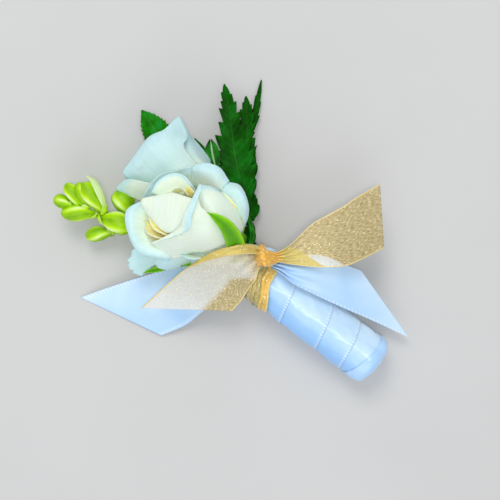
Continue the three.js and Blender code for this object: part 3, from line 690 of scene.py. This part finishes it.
def add_cup_petal(bm, rose, scale, turn, half, path, spiral, warmth):
    """A plain petal of the ring that closes the cup: path is its middle line as (radius, height)."""
    radii, heights = zip(*path)

    def place(u, v):
        side = 2 * u - 1
        v = v * (1 - 0.25 * abs(side) ** 2.5)
        radius = through(radii, v)
        width = half * (0.35 + 0.65 * math.sin(min(1, v / 0.7) * math.pi / 2))
        angle = math.radians(turn) + side * width / max(radius, 3)
        point = bloom_point(rose, scale, angle, radius + spiral * side * v, through(heights, v))
        return point + rose.axis * ripple(point, 0.8 * v, turn)

    # Yellow towards the base: the bloom's own cream with a painted warm glow
    add_sheet(bm, 22, 22, place, lambda u, v: warmth * (1 - v))


# Rings of plain petals inside the blooms: turn in degrees, half width, middle line and spiral
FRONT_CUP = [
    (120, 14, [(3, 1), (8, 8), (12, 17), (14.5, 23), (15.4, 26.5)], 1.0),
    (-176, 14, [(3, 1), (8, 8), (12.4, 16), (15, 22), (16, 25.5)], 1.0),
    (-130, 13, [(3, 1), (8, 8), (12, 15), (14, 20), (15, 23)], 1.0),
]
BACK_CUP = [
    (20, 17, [(3, 1), (6, 6), (9.6, 14), (12.4, 24), (12.8, 31), (12.4, 34)], 0.8),
    (160, 17, [(3, 1), (6, 6), (9.5, 14), (12.4, 24), (13.6, 32), (14, 35)], 0.8),
    (-140, 15, [(3, 1), (6, 6), (9.8, 14), (12.8, 24), (14, 32), (14.6, 34)], 0.8),
    (-84, 14, [(3, 1), (6, 6), (9.6, 14), (12, 24), (12.6, 30), (12.6, 33)], 0.8),
    (90, 14, [(3, 1), (6, 6), (9.4, 14), (12, 24), (12.8, 30), (12.8, 33)], 0.8),
    (0, 11, [(2.5, 1), (6, 8), (8.5, 18), (9, 28), (6.5, 33)], 1.2),
    (120, 11, [(2.5, 1), (6, 8), (8.4, 18), (8.5, 28), (6, 33.5)], 1.2),
    (-120, 11, [(2.5, 1), (6, 8), (7.6, 18), (7.4, 28), (5, 33)], 1.2),
    (40, 7, [(2, 1), (4.5, 10), (4.6, 20), (3.6, 29), (2.4, 34)], 0.8),
]


def make_front_rose():
    bm = bmesh.new()
    for seed, (name, petal) in enumerate(FRONT_PETALS.items()):
        add_petal(bm, FRONT_ROSE, *petal, seed, fray=0.12 if name == "ragged" else 0.04)
    for seed, petal in enumerate(FRONT_HEART.values(), 20):
        add_petal(bm, FRONT_ROSE, *petal, seed)
    for petal in FRONT_CUP:
        add_cup_petal(bm, FRONT_ROSE, FRONT_CUP_SCALE, *petal, warmth=1.2)
    finished("front_rose_bloom", bm, PETAL_SKIN, "front_rose_petals", "rose_petal", PETAL)


def make_back_rose():
    bm = bmesh.new()
    for seed, petal in enumerate(BACK_PETALS.values(), 40):
        add_petal(bm, BACK_ROSE, *petal, seed)
    for petal in BACK_CUP:
        add_cup_petal(bm, BACK_ROSE, BACK_CUP_SCALE, *petal, warmth=0.8)
    finished("back_rose_bloom", bm, PETAL_SKIN, "back_rose_petals", "rose_petal", PETAL)


# Greens of the roses: hip, sepals and stem

# The hip's outline, from below, as its radius and its height
HIP_RADII = (0.02, 1.9, 3.3, 3.9, 3.4, 0.02)
HIP_HEIGHTS = (-8, -7.6, -5.2, -2.4, -0.4, 0.2)
HIP_GROOVES = 5


def add_hip(bm, rose, scale):
    """The swelling under a bloom: a round form with shallow grooves."""
    one = rose.axis.orthogonal().normalized()
    other = rose.axis.cross(one)

    def place(u, v):
        radius = max(through(HIP_RADII, v) * scale[0], 0.01) * (1 + 0.05 * math.cos(HIP_GROOVES * TAU * u))
        up = rose.axis * through(HIP_HEIGHTS, v) * scale[2]
        return rose.hip + (up + around(one, other, TAU * u) * radius) * MM

    add_sheet(bm, 20, 20, place, lambda u, v: 0.35 + 0.3 * v, joined=2 * SEAM)


def add_sepal(bm, middle, half, cup, seed):
    """A sepal along its middle line of points: narrow, keeled and drawn out to a tip."""
    lean = (middle[-1] - middle[0]).normalized()

    def place(u, v):
        side = 2 * u - 1
        here = through(middle, v)
        ahead = heading(middle, v, 0.02)
        across = ahead.cross(Vector((0, 0, 1)) if abs(ahead.z) < 0.97 else lean.orthogonal()).normalized()
        face = across.cross(ahead).normalized()
        width = half * max(0.03, math.sin(math.pi * min(1, 0.3 + 0.7 * v))) * MM
        keel = 0.12 * MM * math.exp(-((side / 0.16) ** 2))
        lift = cup * side * side * width - keel + ripple(here, 0.5 * v, seed)
        return here + across * (side * width) + face * lift

    # Yellower towards both edges, and a little lighter towards one side: a painted highlight
    add_sheet(bm, 12, 30, place, lambda u, v: 0.35 + 0.5 * abs(2 * u - 1) ** 2 + 0.15 * u)


# Sepals that the photograph shows: middle line, half width in millimetres and how far they are cupped
FRONT_SEPALS_SEEN = [
    ([(240, 262, 22), (237, 250, 28), (233.8, 239, 33.6), (226.4, 226.5, 40), (216, 217.5, 43.4),
      (207.5, 212.6, 44.6)], 3.1, 0.12),
    ([(168, 266, 15.6), (160, 268.6, 15.4), (151, 270.6, 15), (142.5, 272.8, 14.4)], 1.1, 0.2),
    ([(208, 262, 20), (204, 260.4, 21.6), (199, 258.6, 22.8), (194, 256, 23.4)], 0.8, 0.2),
    ([(204, 264, 18.6), (198, 263.4, 19.6), (190, 264.4, 20.2), (181, 266.4, 20.2)], 0.8, 0.2),
]
# The others: turn round the bloom in degrees, and middle line as radius and height
FRONT_SEPALS_HIDDEN = [
    (112, [(3.4, -1.5), (6, 0), (9, 4), (12, 9)]),
    (168, [(3.4, -1.5), (4.2, 0.8), (5.4, 4)]),
    (-120, [(3.4, -1.5), (7, 0.6), (11, 2.6), (14, 5)]),
]
BACK_SEPAL_PATH = [(3.4, -1.5), (5, 0.4), (7.6, 5), (9.6, 10)]
BACK_SEPALS = [(turn, BACK_SEPAL_PATH) for turn in (-150, -78, -6, 66, 138)]


def stem_in(x, up, *more):
    """A stem's line inside the handle, x aside from the axis and up above it, and on through more."""
    slope = (NECK_HEIGHT - HANDLE_END_HEIGHT) / HANDLE_LENGTH
    inside = [(x, y, NECK_HEIGHT + y * slope + up) for y in (2.2 - HANDLE_LENGTH, -26, 5)]
    return [from_knot(point) for point in (*inside, *more)]


def add_rose_green(bm, rose, scale, sepals, half, first_seed, stem, radius, steps):
    """A rose's hip, the sepals that the photograph hides, of this half width, and its stem."""
    add_hip(bm, rose, scale)
    for seed, (turn, path) in enumerate(sepals, first_seed):
        line = [bloom_point(rose, scale, math.radians(turn), r, h) for r, h in path]
        add_sepal(bm, line, half, 0.2, seed)
    foot = bloom_point(rose, scale, 0, 0, -6.5)
    add_stem(bm, [*stem, foot], (radius, radius), sides=14, steps=steps, depth=0.3)


def make_front_green():
    bm = bmesh.new()
    add_rose_green(
        bm, FRONT_ROSE, FRONT_GREEN_SCALE, FRONT_SEPALS_HIDDEN, half=2.4, first_seed=5,
        stem=stem_in(2.4, -2.7), radius=2.1, steps=30,
    )
    for seed, (line, half, cup) in enumerate(FRONT_SEPALS_SEEN):
        add_sepal(bm, [seen(point) for point in line], half, cup, seed)
    finished("front_rose_hip_and_sepals", bm, YOUNG_GREEN, "front_rose_green", "rose_green", BLADE)


def make_back_green():
    bm = bmesh.new()
    add_rose_green(
        bm, BACK_ROSE, BACK_GREEN_SCALE, BACK_SEPALS, half=2.6, first_seed=9,
        stem=stem_in(-2.6, -3, (-0.8, 11.6, 7.6), (3.6, 16.6, 9.6)), radius=1.9, steps=34,
    )
    finished("back_rose_hip_and_sepals", bm, YOUNG_GREEN, "back_rose_green", "rose_green", BLADE)


# Freesia buds: base and tip as places in the photograph with heights, and the bud's radius
FREESIA_BUDS = [
    ((72, 207, 12.4), (54, 197, 13), 2.72),
    ((79.5, 208, 12.4), (66, 183, 14), 2.85),
    ((87, 209, 12.8), (78.5, 182, 15.4), 2.75),
    ((104.5, 213, 12.6), (82.5, 182.5, 15.6), 4.03),
    ((97, 214.5, 11.4), (60.6, 212.8, 11.8), 3.33),
    ((98.5, 216, 11), (131, 230, 12.4), 4.22),
    ((114.5, 231.6, 8.2), (85.2, 236, 6.6), 2.97),
    ((128.5, 217, 8.6), (117.5, 189.6, 10.4), 4.46),
]
# Shares of a bud's radius, from base to tip, of the bud, its two bracts and the long bract on one of them
BUD_SIZES = (0.2, 0.38, 0.56, 0.73, 0.88, 0.97, 1.0, 0.98, 0.88, 0.64, 0.2)
BRACT_SIZES = (0.26, 0.35, 0.44, 0.52, 0.59)
LONG_BRACT_SIZES = (0.3, 0.7, 1.0, 1.14, 1.12, 0.75)
LONG_BRACT_BUD = 3
FREESIA_STEM = [
    (-5.4, 12, 8.4), (-8.6, 22, 6), (-12, 36, 6.4), (-16, 50, 9.4), (-19, 59, 11.4), (-21.6, 67, 12.2)
]
# How far the petals wind round a bud, in radians
BUD_TWIST = 1.1


def add_bud(bm, base, tip, radius, seed):
    """A closed freesia bud: three outer petals folded round each other, in two papery bracts."""
    foot, end = seen(base), seen(tip)
    axis = end - foot
    one = axis.orthogonal().normalized()
    other = axis.normalized().cross(one)
    bend = one * (0.06 * axis.length * math.sin(seed * 2.1))
    line = [foot, foot.lerp(end, 0.5) + bend, end]

    # From -1 at the seams to 1 on the middle of each of the three petals
    def petal(u, v):
        return math.cos(3 * (TAU * u + BUD_TWIST * v + seed))

    def bud(u, v):
        fold = 0.16 * max(0, petal(u, v)) ** 2 - 0.08
        size = through(BUD_SIZES, v) * (1 + fold * math.sin(math.pi * min(1, v * 1.1)))
        if v in (0, 1):
            size *= 0.05
        return through(line, v) + around(one, other, TAU * u) * (size * radius * 0.94 * MM)

    # Paler along the middle of each petal, its own pale stripe with a painted highlight on the crest, and
    # darker in the seams: painted shade in the grooves
    def stripes_and_shading(u, v):
        fold = max(0, petal(u, v)) ** 2
        seam_shade = max(0, -petal(u, v)) ** 3
        return 0.34 + 0.66 * fold * math.sin(math.pi * v) ** 0.7 - 0.22 * seam_shade * (1 - 0.7 * v)

    add_sheet(bm, 42, 24, bud, stripes_and_shading, joined=2 * SEAM)
    for k in (0, 1):

        def bract(u, v):
            side = 2 * u - 1
            turn = math.pi * k + seed + side * (1.75 - 0.9 * v * v)
            up = v * (0.25 - 0.12 * side * side) - 0.03
            size = through(BRACT_SIZES, v) * radius * 1.06 * (1 + 0.03 * k) * MM
            return through(line, max(0, up)) + around(one, other, turn) * size

        add_sheet(bm, 12, 10, bract, lambda u, v: 0.45 + 0.5 * v)
    if seed == LONG_BRACT_BUD:
        right = Vector((axis.y, -axis.x, 0)).normalized()

        def long_bract(u, v):
            turn = 0.45 + (u - 0.5) * 1.5 * (1 - 0.75 * v**3)
            reach = around(right, Vector((0, 0, 1)), turn) * (through(LONG_BRACT_SIZES, v) * radius * MM)
            return foot.lerp(end, 1.08 * v) + bend * math.sin(math.pi * min(1, v)) + reach

        add_sheet(bm, 12, 24, long_bract, lambda u, v: 0.85 + 0.4 * v)


def make_freesia():
    bm = bmesh.new()
    stem = stem_in(-4.3, 1.5, *FREESIA_STEM)
    add_stem(bm, stem, (1.2, 1.1, 1.0, 0.9, 0.8), sides=12, steps=70, depth=0.1)
    for seed, (base, tip, radius) in enumerate(FREESIA_BUDS):
        add_bud(bm, base, tip, radius, seed)
    finished("freesia_stem_and_buds", bm, BUD_GREEN, "freesia_spray", "freesia_bud")


# Leaves


def add_leaf(bm, line, widths, teeth, depth, droop=0.5, bow=0.0, columns=16):
    """A toothed leaf blade with a sunk midrib along its middle line. Widths are half widths, depth is how
    deep its teeth are cut, as a share of them, and droop and bow bend it, in millimetres."""
    middle = [seen(point) for point in line]

    def place(u, v):
        side = 2 * u - 1
        ahead = heading(middle, v, 0.03)
        across = Vector((ahead.y, -ahead.x, 0)).normalized()
        count = v * teeth + (0.4 if side > 0 else 0.0)
        saw = count % 1.0
        chance = noise.noise(Vector((math.floor(count) * 1.7, 4.0 if side > 0 else 1.0, widths[1])))
        cut = depth * (1 + chance) * abs(side) ** 4
        width = max(0.1, through(widths, v)) * (1 + cut * (saw - 0.45)) * MM
        arch = math.sin(math.pi * v) ** 0.5
        rib = 0.25 * math.exp(-((side / 0.1) ** 2))
        point = through(middle, v) + across * (side * width) + ahead * (0.5 * saw * cut * width)
        lift = (bow - droop * abs(side) - rib) * arch
        return point + Vector((0, 0, lift * MM + ripple(point, 0.8, widths[1]) * arch))

    add_sheet(bm, columns, teeth * 8, place, lambda u, v: 0.5, size=(1, teeth))


FERN_STEM = [
    (9.6, 8.6, 12.2), (12.2, 11, 10.2), (14, 16, 6.8), (23.1, 24.4, 5.2), (31, 33, 5.4), (38, 41, 5.8)
]
# Blades of the fern: middle line as places in the photograph with heights, half widths, and teeth
FERN_BLADES = [
    ([(247, 212, 5), (243, 190, 5.6), (237, 165, 6.4), (233.5, 145, 6.8), (231, 125, 6.8), (229, 108, 6.4),
      (226.3, 95, 5.9), (224.2, 84, 5.4)], (1.0, 4.2, 6.6, 5.9, 3.8, 2.7, 1.7, 0.1), 10),
    ([(249, 184, 4.4), (247.5, 160, 5), (247, 135, 5.2), (246.5, 117, 5), (246.5, 105, 4.6), (246, 96, 4.2)],
     (1.2, 2.6, 2.4, 2.5, 1.4, 0.1), 7),
    ([(248, 142, 3.2), (252.5, 124, 3), (256, 109, 2.4), (258.6, 95, 1.6), (261.4, 80, 0.9)],
     (0.8, 1.5, 1.3, 0.8, 0.1), 4),
    ([(243, 170, 4.2), (248.5, 157, 4.2), (251.5, 138.5, 3.8)], (1.2, 2.4, 0.3), 2),
    ([(243, 187, 4.2), (250, 173, 4), (255, 156.5, 3.2)], (1.2, 2.4, 0.3), 2),
    ([(244, 200, 4.2), (249.5, 188, 4), (253.8, 171.5, 3)], (1.2, 2.3, 0.3), 2),
    ([(246, 213, 4.4), (249.5, 203, 3.8), (253, 187, 2.8)], (1.2, 2.2, 0.3), 2),
    ([(246, 224, 5.2), (252, 212, 4), (256, 198, 2.8)], (0.8, 2.4, 0.5), 2),
    ([(248.5, 249, 8.6), (249.4, 238, 6.6), (248.4, 226.5, 5)], (1.7, 2.4, 0.9), 2),
    ([(241, 184, 4.8), (229, 166, 4.4), (216.5, 151.5, 3.8)], (1.2, 2.8, 0.3), 3),
    ([(239, 166, 5.2), (229, 152, 4.8), (217.6, 137.4, 4)], (1.2, 2.8, 0.3), 3),
    ([(244, 198, 4.6), (234, 183, 4.4), (226, 171, 3.8)], (1.2, 2.6, 0.3), 3),
]


def make_fern():
    bm = bmesh.new()
    add_stem(bm, stem_in(4.4, 1.2, *FERN_STEM), (1.1, 1.1, 1.0, 0.8, 0.5))
    for line, widths, teeth in FERN_BLADES:
        add_leaf(bm, line, widths, teeth, depth=0.48, droop=0.6)
    finished("fern_frond_and_pinnae", bm, FERN_GREEN, "fern_frond", "fern", BLADE)


ROSE_STALK = [(1, 14, 2.8), (6.6, 28, 1.7), (11.6, 38.6, 1.2)]
ROSE_LEAF = [(178, 163, 1.2), (160, 137, 1.2), (141.5, 110, 0.9)]
SPRIG_STALK = [(6.4, 6.8, 17), (12, 11, 14.4), (17.4, 22, 10.4), (21.4, 32.6, 7.8)]
SPRIG_LEAVES = [
    ([(208, 169, 8), (202, 154, 9), (194.6, 138.2, 8.6)], (0.3, 1.7, 1.7, 0.1)),
    ([(216.5, 170, 7.4), (212.5, 154, 8.4), (210.5, 139.6, 8.8)], (0.4, 2.0, 2.4, 2.2, 0.5)),
]


def make_rose_leaf():
    bm = bmesh.new()
    add_stem(bm, stem_in(-0.7, -5.2, *ROSE_STALK), (0.8, 0.8, 0.7))
    add_leaf(bm, ROSE_LEAF, (1, 4.3, 5.4, 5, 3.4, 0.1), teeth=16, depth=0.14, bow=0.3, columns=22)
    finished("rose_leaf_blade", bm, LEAF_GREEN, "rose_leaf", "leaf", BLADE)


def make_small_leaves():
    bm = bmesh.new()
    add_stem(bm, stem_in(1.6, 4.6, *SPRIG_STALK), (0.7, 0.7, 0.6))
    for line, widths in SPRIG_LEAVES:
        add_leaf(bm, line, widths, teeth=5, depth=0.04)
    finished("small_leaves", bm, SPRIG_GREEN, "small_leaf_sprig", "leaf", BLADE)


# Handle

# The binding's lower side is pressed flat where it lies on the table: how high above it, and how far
# under the table the round would reach, in millimetres
PRESSED_HEIGHT = 0.12
PRESSED_DEPTH = 0.9


def on_axis(turn, radius, y):
    """A point of the handle, in metres: its turn from the top, its radius and its place along the axis."""
    slope = math.atan2(NECK_HEIGHT - HANDLE_END_HEIGHT, HANDLE_LENGTH)
    up = radius * math.cos(turn)
    lowered = y * math.cos(slope) - up * math.sin(slope)
    height = y * math.sin(slope) + up * math.cos(slope) + NECK_HEIGHT
    if height < FLAT_SPOT:
        share = max(0, height + PRESSED_DEPTH) / (FLAT_SPOT + PRESSED_DEPTH)
        height = PRESSED_HEIGHT + share * (FLAT_SPOT - PRESSED_HEIGHT)
    return from_knot((radius * math.sin(turn), lowered, height))


# The handle's rounded end: where it starts and how long it is
END_START = -50.0
END_LENGTH = 5.6


def wrap_radius(y):
    """The handle's radius, which narrows towards the neck and closes at the rounded end."""
    t = held((y + 20) / 10)
    radius = HANDLE_RADIUS + (NECK_RADIUS - HANDLE_RADIUS) * t * t * (3 - 2 * t)
    past = max(0.0, END_START - y) / END_LENGTH
    return radius * max(0.05, 1 - past**3) ** (1 / 3)


def handle_bumps(turn, y):
    """The stems show through the ribbon as soft ridges along the handle."""
    ridge = 0.16 * math.cos(5 * turn + 0.6 + 0.01 * y)
    return ridge + 0.55 * crumple(turn, 2.0, 0.16 * y) + 0.26 * crumple(turn, 4.4, 0.42 * y, 4)


# Where the lower edge of each turn crosses the top of the handle, and the top of the last turn
WRAP_EDGES = (-53.0, -52.6, -43.1, -31.6, -15.4, -6.0)
WRAP_TOP = 4.2
# The ribbon starts this share of a turn round, and each turn lies this far over the one before
WRAP_START = 0.15
WRAP_LAP = 0.4


def make_winding():
    bm = bmesh.new()
    turns = len(WRAP_EDGES) - 1

    # How many turns the ribbon has made
    def wound(v):
        return WRAP_START + (turns - WRAP_START) * v

    def place(u, v):
        turn = TAU * wound(v)
        low = through(WRAP_EDGES, wound(v) / turns)
        y = low + (min(low + RIBBON_WIDTH, WRAP_TOP) - low) * u
        sunk = WRAP_LAP * (y - low) / RIBBON_WIDTH
        return on_axis(turn, wrap_radius(y) + 0.1 - sunk + 0.7 * handle_bumps(turn, y), y)

    def shade(u, v):
        return 0.9 * max(0.0, -math.sin(TAU * wound(v))) ** 0.8

    length = TAU * HANDLE_RADIUS * (turns - WRAP_START) / RIBBON_WIDTH
    add_sheet(bm, 26, 480, place, shade, size=(1, length))
    ribbon_piece("satin_winding", bm, WRAP, CLOTH * 0.6)


def make_handle_end():
    bm = bmesh.new()

    def place(u, v):
        turn = TAU * u
        bend = min(1, v / 0.75) * math.pi / 2
        y = END_START - END_LENGTH * math.cos(bend) ** (2 / 3) + 1.2 * max(0.0, v - 0.75) / 0.25
        swell = 0.9 * abs(crumple(turn, 1.6, 2.5)) * math.sin(math.pi * v)
        radius = HANDLE_RADIUS + 0.25 + 0.7 * handle_bumps(turn, y) + swell
        slant = 1.9 * math.sin(turn + 0.5) * v**4
        folds = 0.7 * crumple(turn, 2.6, 3 * v) * (1 - v)
        return on_axis(turn, radius * math.sin(bend) ** (2 / 3) + 0.05, y + folds - slant)

    # Painted shade: the end is painted a deeper blue all over
    add_sheet(bm, 64, 30, place, lambda u, v: 0.4, size=(0.8, 0.9), start=0.1, joined=SEAM)
    ribbon_piece("satin_end_fold", bm, WRAP, CLOTH * 0.6)


# Ties


def even(points, count=40):
    """The smooth line through the points, as points an even way apart."""
    fine = [through(points, k / 600) for k in range(601)]
    far = [0.0]
    for a, b in zip(fine, fine[1:]):
        far.append(far[-1] + (b - a).length)
    made, k = [], 0
    for j in range(count + 1):
        want = far[-1] * j / count
        while k < 599 and far[k + 1] < want:
            k += 1
        span = far[k + 1] - far[k]
        made.append(fine[k].lerp(fine[k + 1], min(1, (want - far[k]) / span if span else 0)))
    return made


# Edges of the four tails, from the knot out: places in the photograph with heights
SATIN_LEFT = [
    [(271, 250, 20.8), (253, 253, 20.4), (233, 255, 15.4), (199, 262, 10.6), (161, 270.8, 8),
     (114.6, 285.3, 3.4), (80, 297.5, 0.7)],
    [(266, 262, 20.8), (257, 270, 21.4), (243, 280, 19.6), (222, 297, 15), (200.6, 313.2, 9.6),
     (186, 324.9, 4), (161.5, 335.5, 0.7)],
]
SATIN_RIGHT = [
    [(272, 262, 20.6), (285, 259, 21.4), (300, 255, 21.6), (316.6, 252.7, 20.6), (329, 255.6, 19.4),
     (343, 263.5, 17), (360.8, 270.3, 13)],
    [(270, 267, 20.6), (281.5, 273.8, 21.8), (294, 284, 21.6), (315, 294.8, 20), (348, 310, 15.5),
     (371.3, 320.1, 11), (409, 337.6, 5)],
]
ORGANZA_LEFT = [
    [(266, 251.5, 24.4), (256, 245, 26.8), (243, 243.9, 30.4), (232, 246, 31.4), (215, 250.5, 30.8),
     (200, 258.5, 28), (185, 269, 24.5), (163, 288, 18), (141, 308, 11.5)],
    [(262, 260, 24), (259, 268, 23.8), (255.6, 280, 22), (248.6, 289.2, 19.5), (242, 300, 17),
     (232, 311, 14.5)],
]
ORGANZA_RIGHT = [
    [(272, 254.5, 24), (279, 251.6, 24.2), (286, 247.6, 24.5), (294.2, 241, 24.6), (311, 224.7, 24),
     (325, 216.3, 23.4), (343, 206.5, 22.4), (357, 197, 21), (380, 184, 18.6)],
    [(271, 259, 23.6), (284, 263, 24), (299.8, 265.4, 24.4), (316.6, 267.1, 24.4), (336, 267.1, 24),
     (348, 265.4, 23), (364, 258.4, 21.4), (384, 248, 18)],
]


def gathers(folds, depth, reach):
    """Pleats that run out of the knot and die away along the tail."""
    return lambda u, v: depth * max(0.0, 1 - v / reach) ** 2 * math.sin(TAU * folds * u + 0.7)


def left_fold(v):
    """The share of the left organza tail that is folded back over its upper edge."""
    return 0.36 * max(0.0, 1 - v / 0.6) ** 0.9


def left_gold_or_painted_pale(u, v):
    """More than 0 where the tail is gathered or doubled and gold, less where it lies sheer on the satin and
    is painted paler, for the lit satin showing through.
    """
    doubled = 0.36 if u < left_fold(v) else 0.0
    border = 0.72 + 0.34 * held((0.5 - v) / 0.2)
    sheer = -0.34 * held(5 * v - 0.6) * held((border - u) / 0.1)
    return max(0.95 - 8 * v, doubled) if v < 0.119 or doubled else sheer


def right_gold_or_painted_pale(u, v):
    """More than 0 where the tail is gathered or its lower edge doubled, less where it lies on the satin and
    is painted paler, for the lit satin showing through.
    """
    doubled = 0.3 if u > 1 - (max(0.0, 0.48 - v) / 0.36) ** 1.6 else 0.0
    satin_edge = 0.66 + 2.4 * max(0.0, v - 0.25) ** 2
    sheer = -0.4 * held((u - satin_edge) / 0.03)
    return max(0.95 - 6 * v, doubled) if v < 0.158 or doubled else sheer


def make_tail(name, ribbon, edges, length, push, warm=None, fold=None):
    """One cut tail of ribbon between its two edges; push(u, v) lifts it into folds, in millimetres.
    fold(v) is the share of its width that is folded back over its first edge."""
    left, right = (even([seen(point) for point in edge]) for edge in edges)
    bm = bmesh.new()

    def place(u, v):
        turned = fold(v) if fold else 0.0
        over = max(0.0, turned - u)
        point = through(left, v).lerp(through(right, v), abs(u - turned) / (1 - turned))
        return point + Vector((0, 0, (push(u, v) + 0.8 * min(1, over / 0.05) + 2 * over) * MM))

    add_sheet(bm, 64, 110, place, warm, size=(1, length / RIBBON_WIDTH))
    ribbon_piece(name, bm, ribbon, CLOTH * 0.7)


def make_tails():
    gather = gathers(4, 1.3, 0.6)
    soft_gather = gathers(3, 1.55, 0.62)
    make_tail(
        "satin_tail_left", SATIN_TIE, SATIN_LEFT, 60,
        lambda u, v: gather(u, v) + 0.5 * math.sin(5 * v + 2 * u) * v,
        # Painted shade: deeper blue towards its lower edge and its end
        lambda u, v: 0.4 * u * v,
    )
    make_tail(
        "satin_tail_right", SATIN_TIE, SATIN_RIGHT, 42,
        lambda u, v: soft_gather(u, v) + 0.3 * math.sin(6 * v) * u * (1 - u),
        # Painted shade: deeper blue along the middle of its length
        lambda u, v: 0.3 * math.sin(math.pi * v),
    )
    make_tail(
        "organza_tail_left", ORGANZA_TIE, ORGANZA_LEFT, 40,
        gathers(5, 0.85, 0.6), left_gold_or_painted_pale, left_fold,
    )
    make_tail(
        "organza_tail_right", ORGANZA_TIE, ORGANZA_RIGHT, 42,
        gathers(4, 0.55, 0.5), right_gold_or_painted_pale,
    )


# How far along the handle the band moves for each millimetre across it
BAND_SLANT = 0.6


def make_band(name, ribbon, inner, low, high, folds, length, warm=None):
    """The ribbon's full width laid in knife pleats, at the radius inner, between two places on the neck."""
    bm = bmesh.new()
    pitch = (high - low) / (folds + 1)
    # A pleat's section, as shares of the pitch along the neck and millimetres above the band
    pleat = ((1, 0.05), (1.9, 0.38), (2, 0.31), (1.2, 0.16))
    places, lifts = [low], [0]
    for k in range(folds):
        places += [low + pitch * (k + along) for along, _ in pleat]
        lifts += [lift for _, lift in pleat]
    places, lifts = places + [high], lifts + [0.1]

    def place(u, v):
        turn = TAU * v
        wave = 0.5 * crumple(turn, 2.4, u * 3)
        radius = inner + through(lifts, u) * (1 + wave) + 0.5 * wave
        x = radius * math.sin(turn)
        return on_axis(turn, radius, through(places, u) + wave + BAND_SLANT * (x if x < 0 else 0.2 * x))

    add_sheet(bm, 10 * folds, 120, place, warm, size=(1, length / RIBBON_WIDTH), joined=SEAM)
    ribbon_piece(name, bm, ribbon, CLOTH * 0.6)


def make_knot(name, ribbon, line, radii, length, warm=None):
    """The short crossing of the tie: ribbon bunched into pleats, hollow inside."""
    bm = bmesh.new()
    points = [seen(point) for point in line]
    axis = (points[-1] - points[0]).normalized()
    one = axis.cross(Vector((0, 0, 1))).normalized()
    other = one.cross(axis)

    def place(u, v):
        turn = TAU * u
        wave = 1 + 0.12 * abs(math.sin(4.5 * turn + 5 * v)) + 0.12 * math.sin(5 * turn - 7 * v + 1)
        wave += 0.26 * noise.noise(Vector((2.2 * math.cos(turn), 2.2 * math.sin(turn), 6 * v)))
        return through(points, v) + around(one * 1.15, other, turn) * (through(radii, v) * wave * MM)

    add_sheet(bm, 90, 36, place, warm, size=(1, length / RIBBON_WIDTH), joined=SEAM)
    ribbon_piece(name, bm, ribbon, CLOTH * 0.7)


# Middle lines of the two crossings, and their radii in millimetres
SATIN_CROSSING = [
    (256, 264, 16.5), (261, 259.5, 19), (267, 256.5, 20.4), (273.4, 255.4, 20.6), (280, 258, 18.6)
]
SATIN_CROSSING_RADII = (1.3, 2.2, 2.4, 1.9, 1.2)
ORGANZA_CROSSING = [
    (254, 262, 21.5), (258, 258.5, 24), (263, 256, 25.6), (269, 257.5, 25.2), (275, 257.5, 23.6),
    (281, 256, 22.4),
]
ORGANZA_CROSSING_RADII = (1.2, 2.2, 2.8, 2.2, 1.6, 0.9)


def make_bands_and_knots():
    make_band("satin_band", SATIN_TIE, inner=8.6, low=-5.4, high=0.6, folds=6, length=52)
    make_band(
        "organza_band", ORGANZA_TIE, inner=9.4, low=-6.4, high=2.4, folds=4, length=64,
        warm=lambda u, v: 0.7 if u < 0.2 or u > 0.85 else 0.15 + 0.15 * math.sin(28 * u),
    )
    make_knot("satin_knot", SATIN_TIE, SATIN_CROSSING, SATIN_CROSSING_RADII, 10)
    make_knot(
        "organza_knot", ORGANZA_TIE, ORGANZA_CROSSING, ORGANZA_CROSSING_RADII, 11.5,
        lambda u, v: 0.92 + 0.08 * math.sin(9 * TAU * u + 10 * v),
    )


# Tape inside, which keeps its CAD shape


def paint_tape():
    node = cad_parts["floral_tape"]
    node.data.materials.clear()
    node.data.materials.append(floral_tape())


# Stage, light and camera


def make_stage():
    bm = bmesh.new()
    bmesh.ops.create_grid(bm, x_segments=1, y_segments=1, size=1.5)
    mesh = bpy.data.meshes.new("table")
    bm.to_mesh(mesh)
    bm.free()
    mesh.materials.append(table_top())
    placed("table", mesh)


def add_light(name, place, size, power, colour):
    """A square soft light that faces the spray."""
    lamp = bpy.data.lights.new(name, "AREA")
    lamp.size = size
    lamp.energy = power
    lamp.color = linear(colour)[:3]
    light = placed(name, lamp)
    light.location = place
    light.rotation_euler = (Vector((0, 0, 0.02)) - Vector(place)).to_track_quat("-Z", "Y").to_euler()


def light_studio():
    bpy.context.scene.view_settings.view_transform = "Standard"
    world = bpy.data.worlds.new("studio")
    bpy.context.scene.world = world
    world.use_nodes = True
    sky = world.node_tree.nodes["Background"]
    sky.inputs["Color"].default_value = linear("#eef3fa")
    sky.inputs["Strength"].default_value = 0.64
    add_light("window", (0.3, 0.4, 0.8), 0.4, 3.0, "#fffdf8")
    add_light("overhead", (-0.02, -0.04, 0.9), 0.12, 1.7, "#ffffff")
    add_light("fill", (-0.6, -0.45, 0.6), 0.7, 2.3, "#f6f8fc")


def place_camera():
    lens = bpy.data.cameras.new("camera")
    lens.angle = 2 * math.atan(PICTURE / 2 / FOCAL_PIXELS)
    camera = placed("camera", lens)
    camera.location = (EYE[0] * MM, EYE[1] * MM, EYE_HEIGHT * MM)
    camera.rotation_euler = (0, 0, PICTURE_TURN - math.pi / 2)
    bpy.context.scene.camera = camera


place_camera()
make_stage()
light_studio()
paint_tape()
make_winding()
make_handle_end()
make_front_rose()
make_back_rose()
make_front_green()
make_back_green()
make_freesia()
make_fern()
make_rose_leaf()
make_small_leaves()
make_tails()
make_bands_and_knots()
